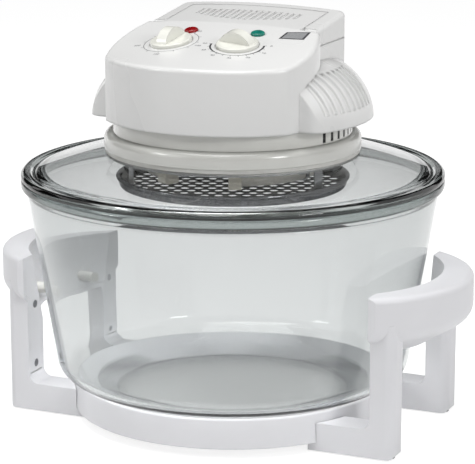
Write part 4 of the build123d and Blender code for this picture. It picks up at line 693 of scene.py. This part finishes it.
floorMaterial = bpy.data.materials.new("floorWhite")
floorMaterial.use_nodes = True
floorTree = floorMaterial.node_tree
floorTree.nodes.clear()
matt = addNode(floorTree, "ShaderNodeBsdfDiffuse", inputs={"Color": linear(studio["floor"])})
through = addNode(floorTree, "ShaderNodeLightPath").outputs["Is Transmission Ray"]
glowStrength = addNode(floorTree, "ShaderNodeMapRange", inputs={
    "Value": through, "To Min": studio["seenGlow"], "To Max": studio["glowThroughGlass"]})
paleTone = addNode(floorTree, "ShaderNodeMix", {"data_type": "RGBA"}, {
    "Factor": through, 6: linear(studio["seenFloor"]), 7: linear(studio["floorThroughGlass"])})
pale = addNode(floorTree, "ShaderNodeBsdfDiffuse", inputs={"Color": paleTone.outputs[2]})
glow = addNode(floorTree, "ShaderNodeEmission", inputs={"Color": white, "Strength": glowStrength})
shown = addNode(floorTree, "ShaderNodeAddShader", inputs={0: pale, 1: glow})
mixed = addNode(floorTree, "ShaderNodeMixShader", inputs={0: seenDirectly(floorTree), 1: matt, 2: shown})
addNode(floorTree, "ShaderNodeOutputMaterial", inputs={"Surface": mixed})


def flatCard(name, centre, facing, size, material):
    mesh = bpy.data.meshes.new(name)
    half = Vector(size) / 2
    turn = Vector(facing).to_track_quat("Z", "Y")
    signs = ((-1, -1), (1, -1), (1, 1), (-1, 1))
    corners = [Vector((across * half.x, up * half.y, 0)) for across, up in signs]
    mesh.from_pydata([Vector(centre) + turn @ corner for corner in corners], [], [(0, 1, 2, 3)])
    card = bpy.data.objects.new(name, mesh)
    card.data.materials.append(material)
    bpy.context.scene.collection.objects.link(card)
    return card


flatCard("floor", (0, 0, 0), (0, 0, 1), (studio["floorSize"], studio["floorSize"]), floorMaterial)
cardMaterial = newMaterial("cardBlack", {"Base Color": linear(studio["card"]), "Roughness": 0.9})[0]
cards = {  # centre, the way it faces, and size, in metres
    "cardBack": ((-0.9, 1.9, 1.5), (0.4, -0.85, -0.5), (4.0, 2.2)),
    "cardLeft": ((-1.8, -0.4, 0.7), (1, 0.2, 0), (2.0, 1.2)),
    "cardRight": ((1.9, 0.2, 0.7), (-1, 0, 0), (2.0, 1.2)),
    "cardAbove": ((0, -0.2, 2.6), (0, 0, -1), (3.0, 3.0)),
    "cardFront": ((0.9, -2.3, 1.2), (-0.36, 0.93, -0.2), (4.5, 2.4)),
}
for name, (centre, facing, size) in cards.items():
    card = flatCard(name, centre, facing, size, cardMaterial)
    card.visible_camera = False
    card.visible_diffuse = False
    card.visible_transmission = name == "cardAbove"
    card.visible_shadow = False

lampAim = Vector((0, 0, 0.2))
lamps = {  # places and sizes in metres, power in watts
    "overhead": {"at": (-0.1, -0.25, 1.9), "size": 1.1, "power": 22.5},
    "stripLeft": {"at": (-1.25, -1.2, 1.1), "size": 0.35, "power": 5.5},
    "stripRight": {"at": (1.65, -0.75, 0.95), "size": 0.4, "power": 10},
}
for name, lamp in lamps.items():
    light = bpy.data.lights.new(name, "AREA")
    light.shape = "SQUARE"
    light.size = lamp["size"]
    light.energy = lamp["power"]
    rig = bpy.data.objects.new(name, light)
    bpy.context.scene.collection.objects.link(rig)
    rig.location = lamp["at"]
    rig.rotation_euler = (lampAim - Vector(lamp["at"])).to_track_quat("-Z", "Y").to_euler()

view = {"at": (713.86, -1579.61, 562.93), "target": (3.36, 1.51, 148.93), "lens": 166.85}
camera = bpy.data.cameras.new("camera")
camera.sensor_width = 36
camera.lens = view["lens"]
cameraRig = bpy.data.objects.new("camera", camera)
bpy.context.scene.collection.objects.link(cameraRig)
cameraRig.location = Vector(view["at"]) * mm
cameraRig.rotation_euler = (Vector(view["target"]) - Vector(view["at"])).to_track_quat("-Z", "Y").to_euler()
bpy.context.scene.camera = cameraRig
bpy.context.scene.view_settings.view_transform = "Standard"
print("studio ready")
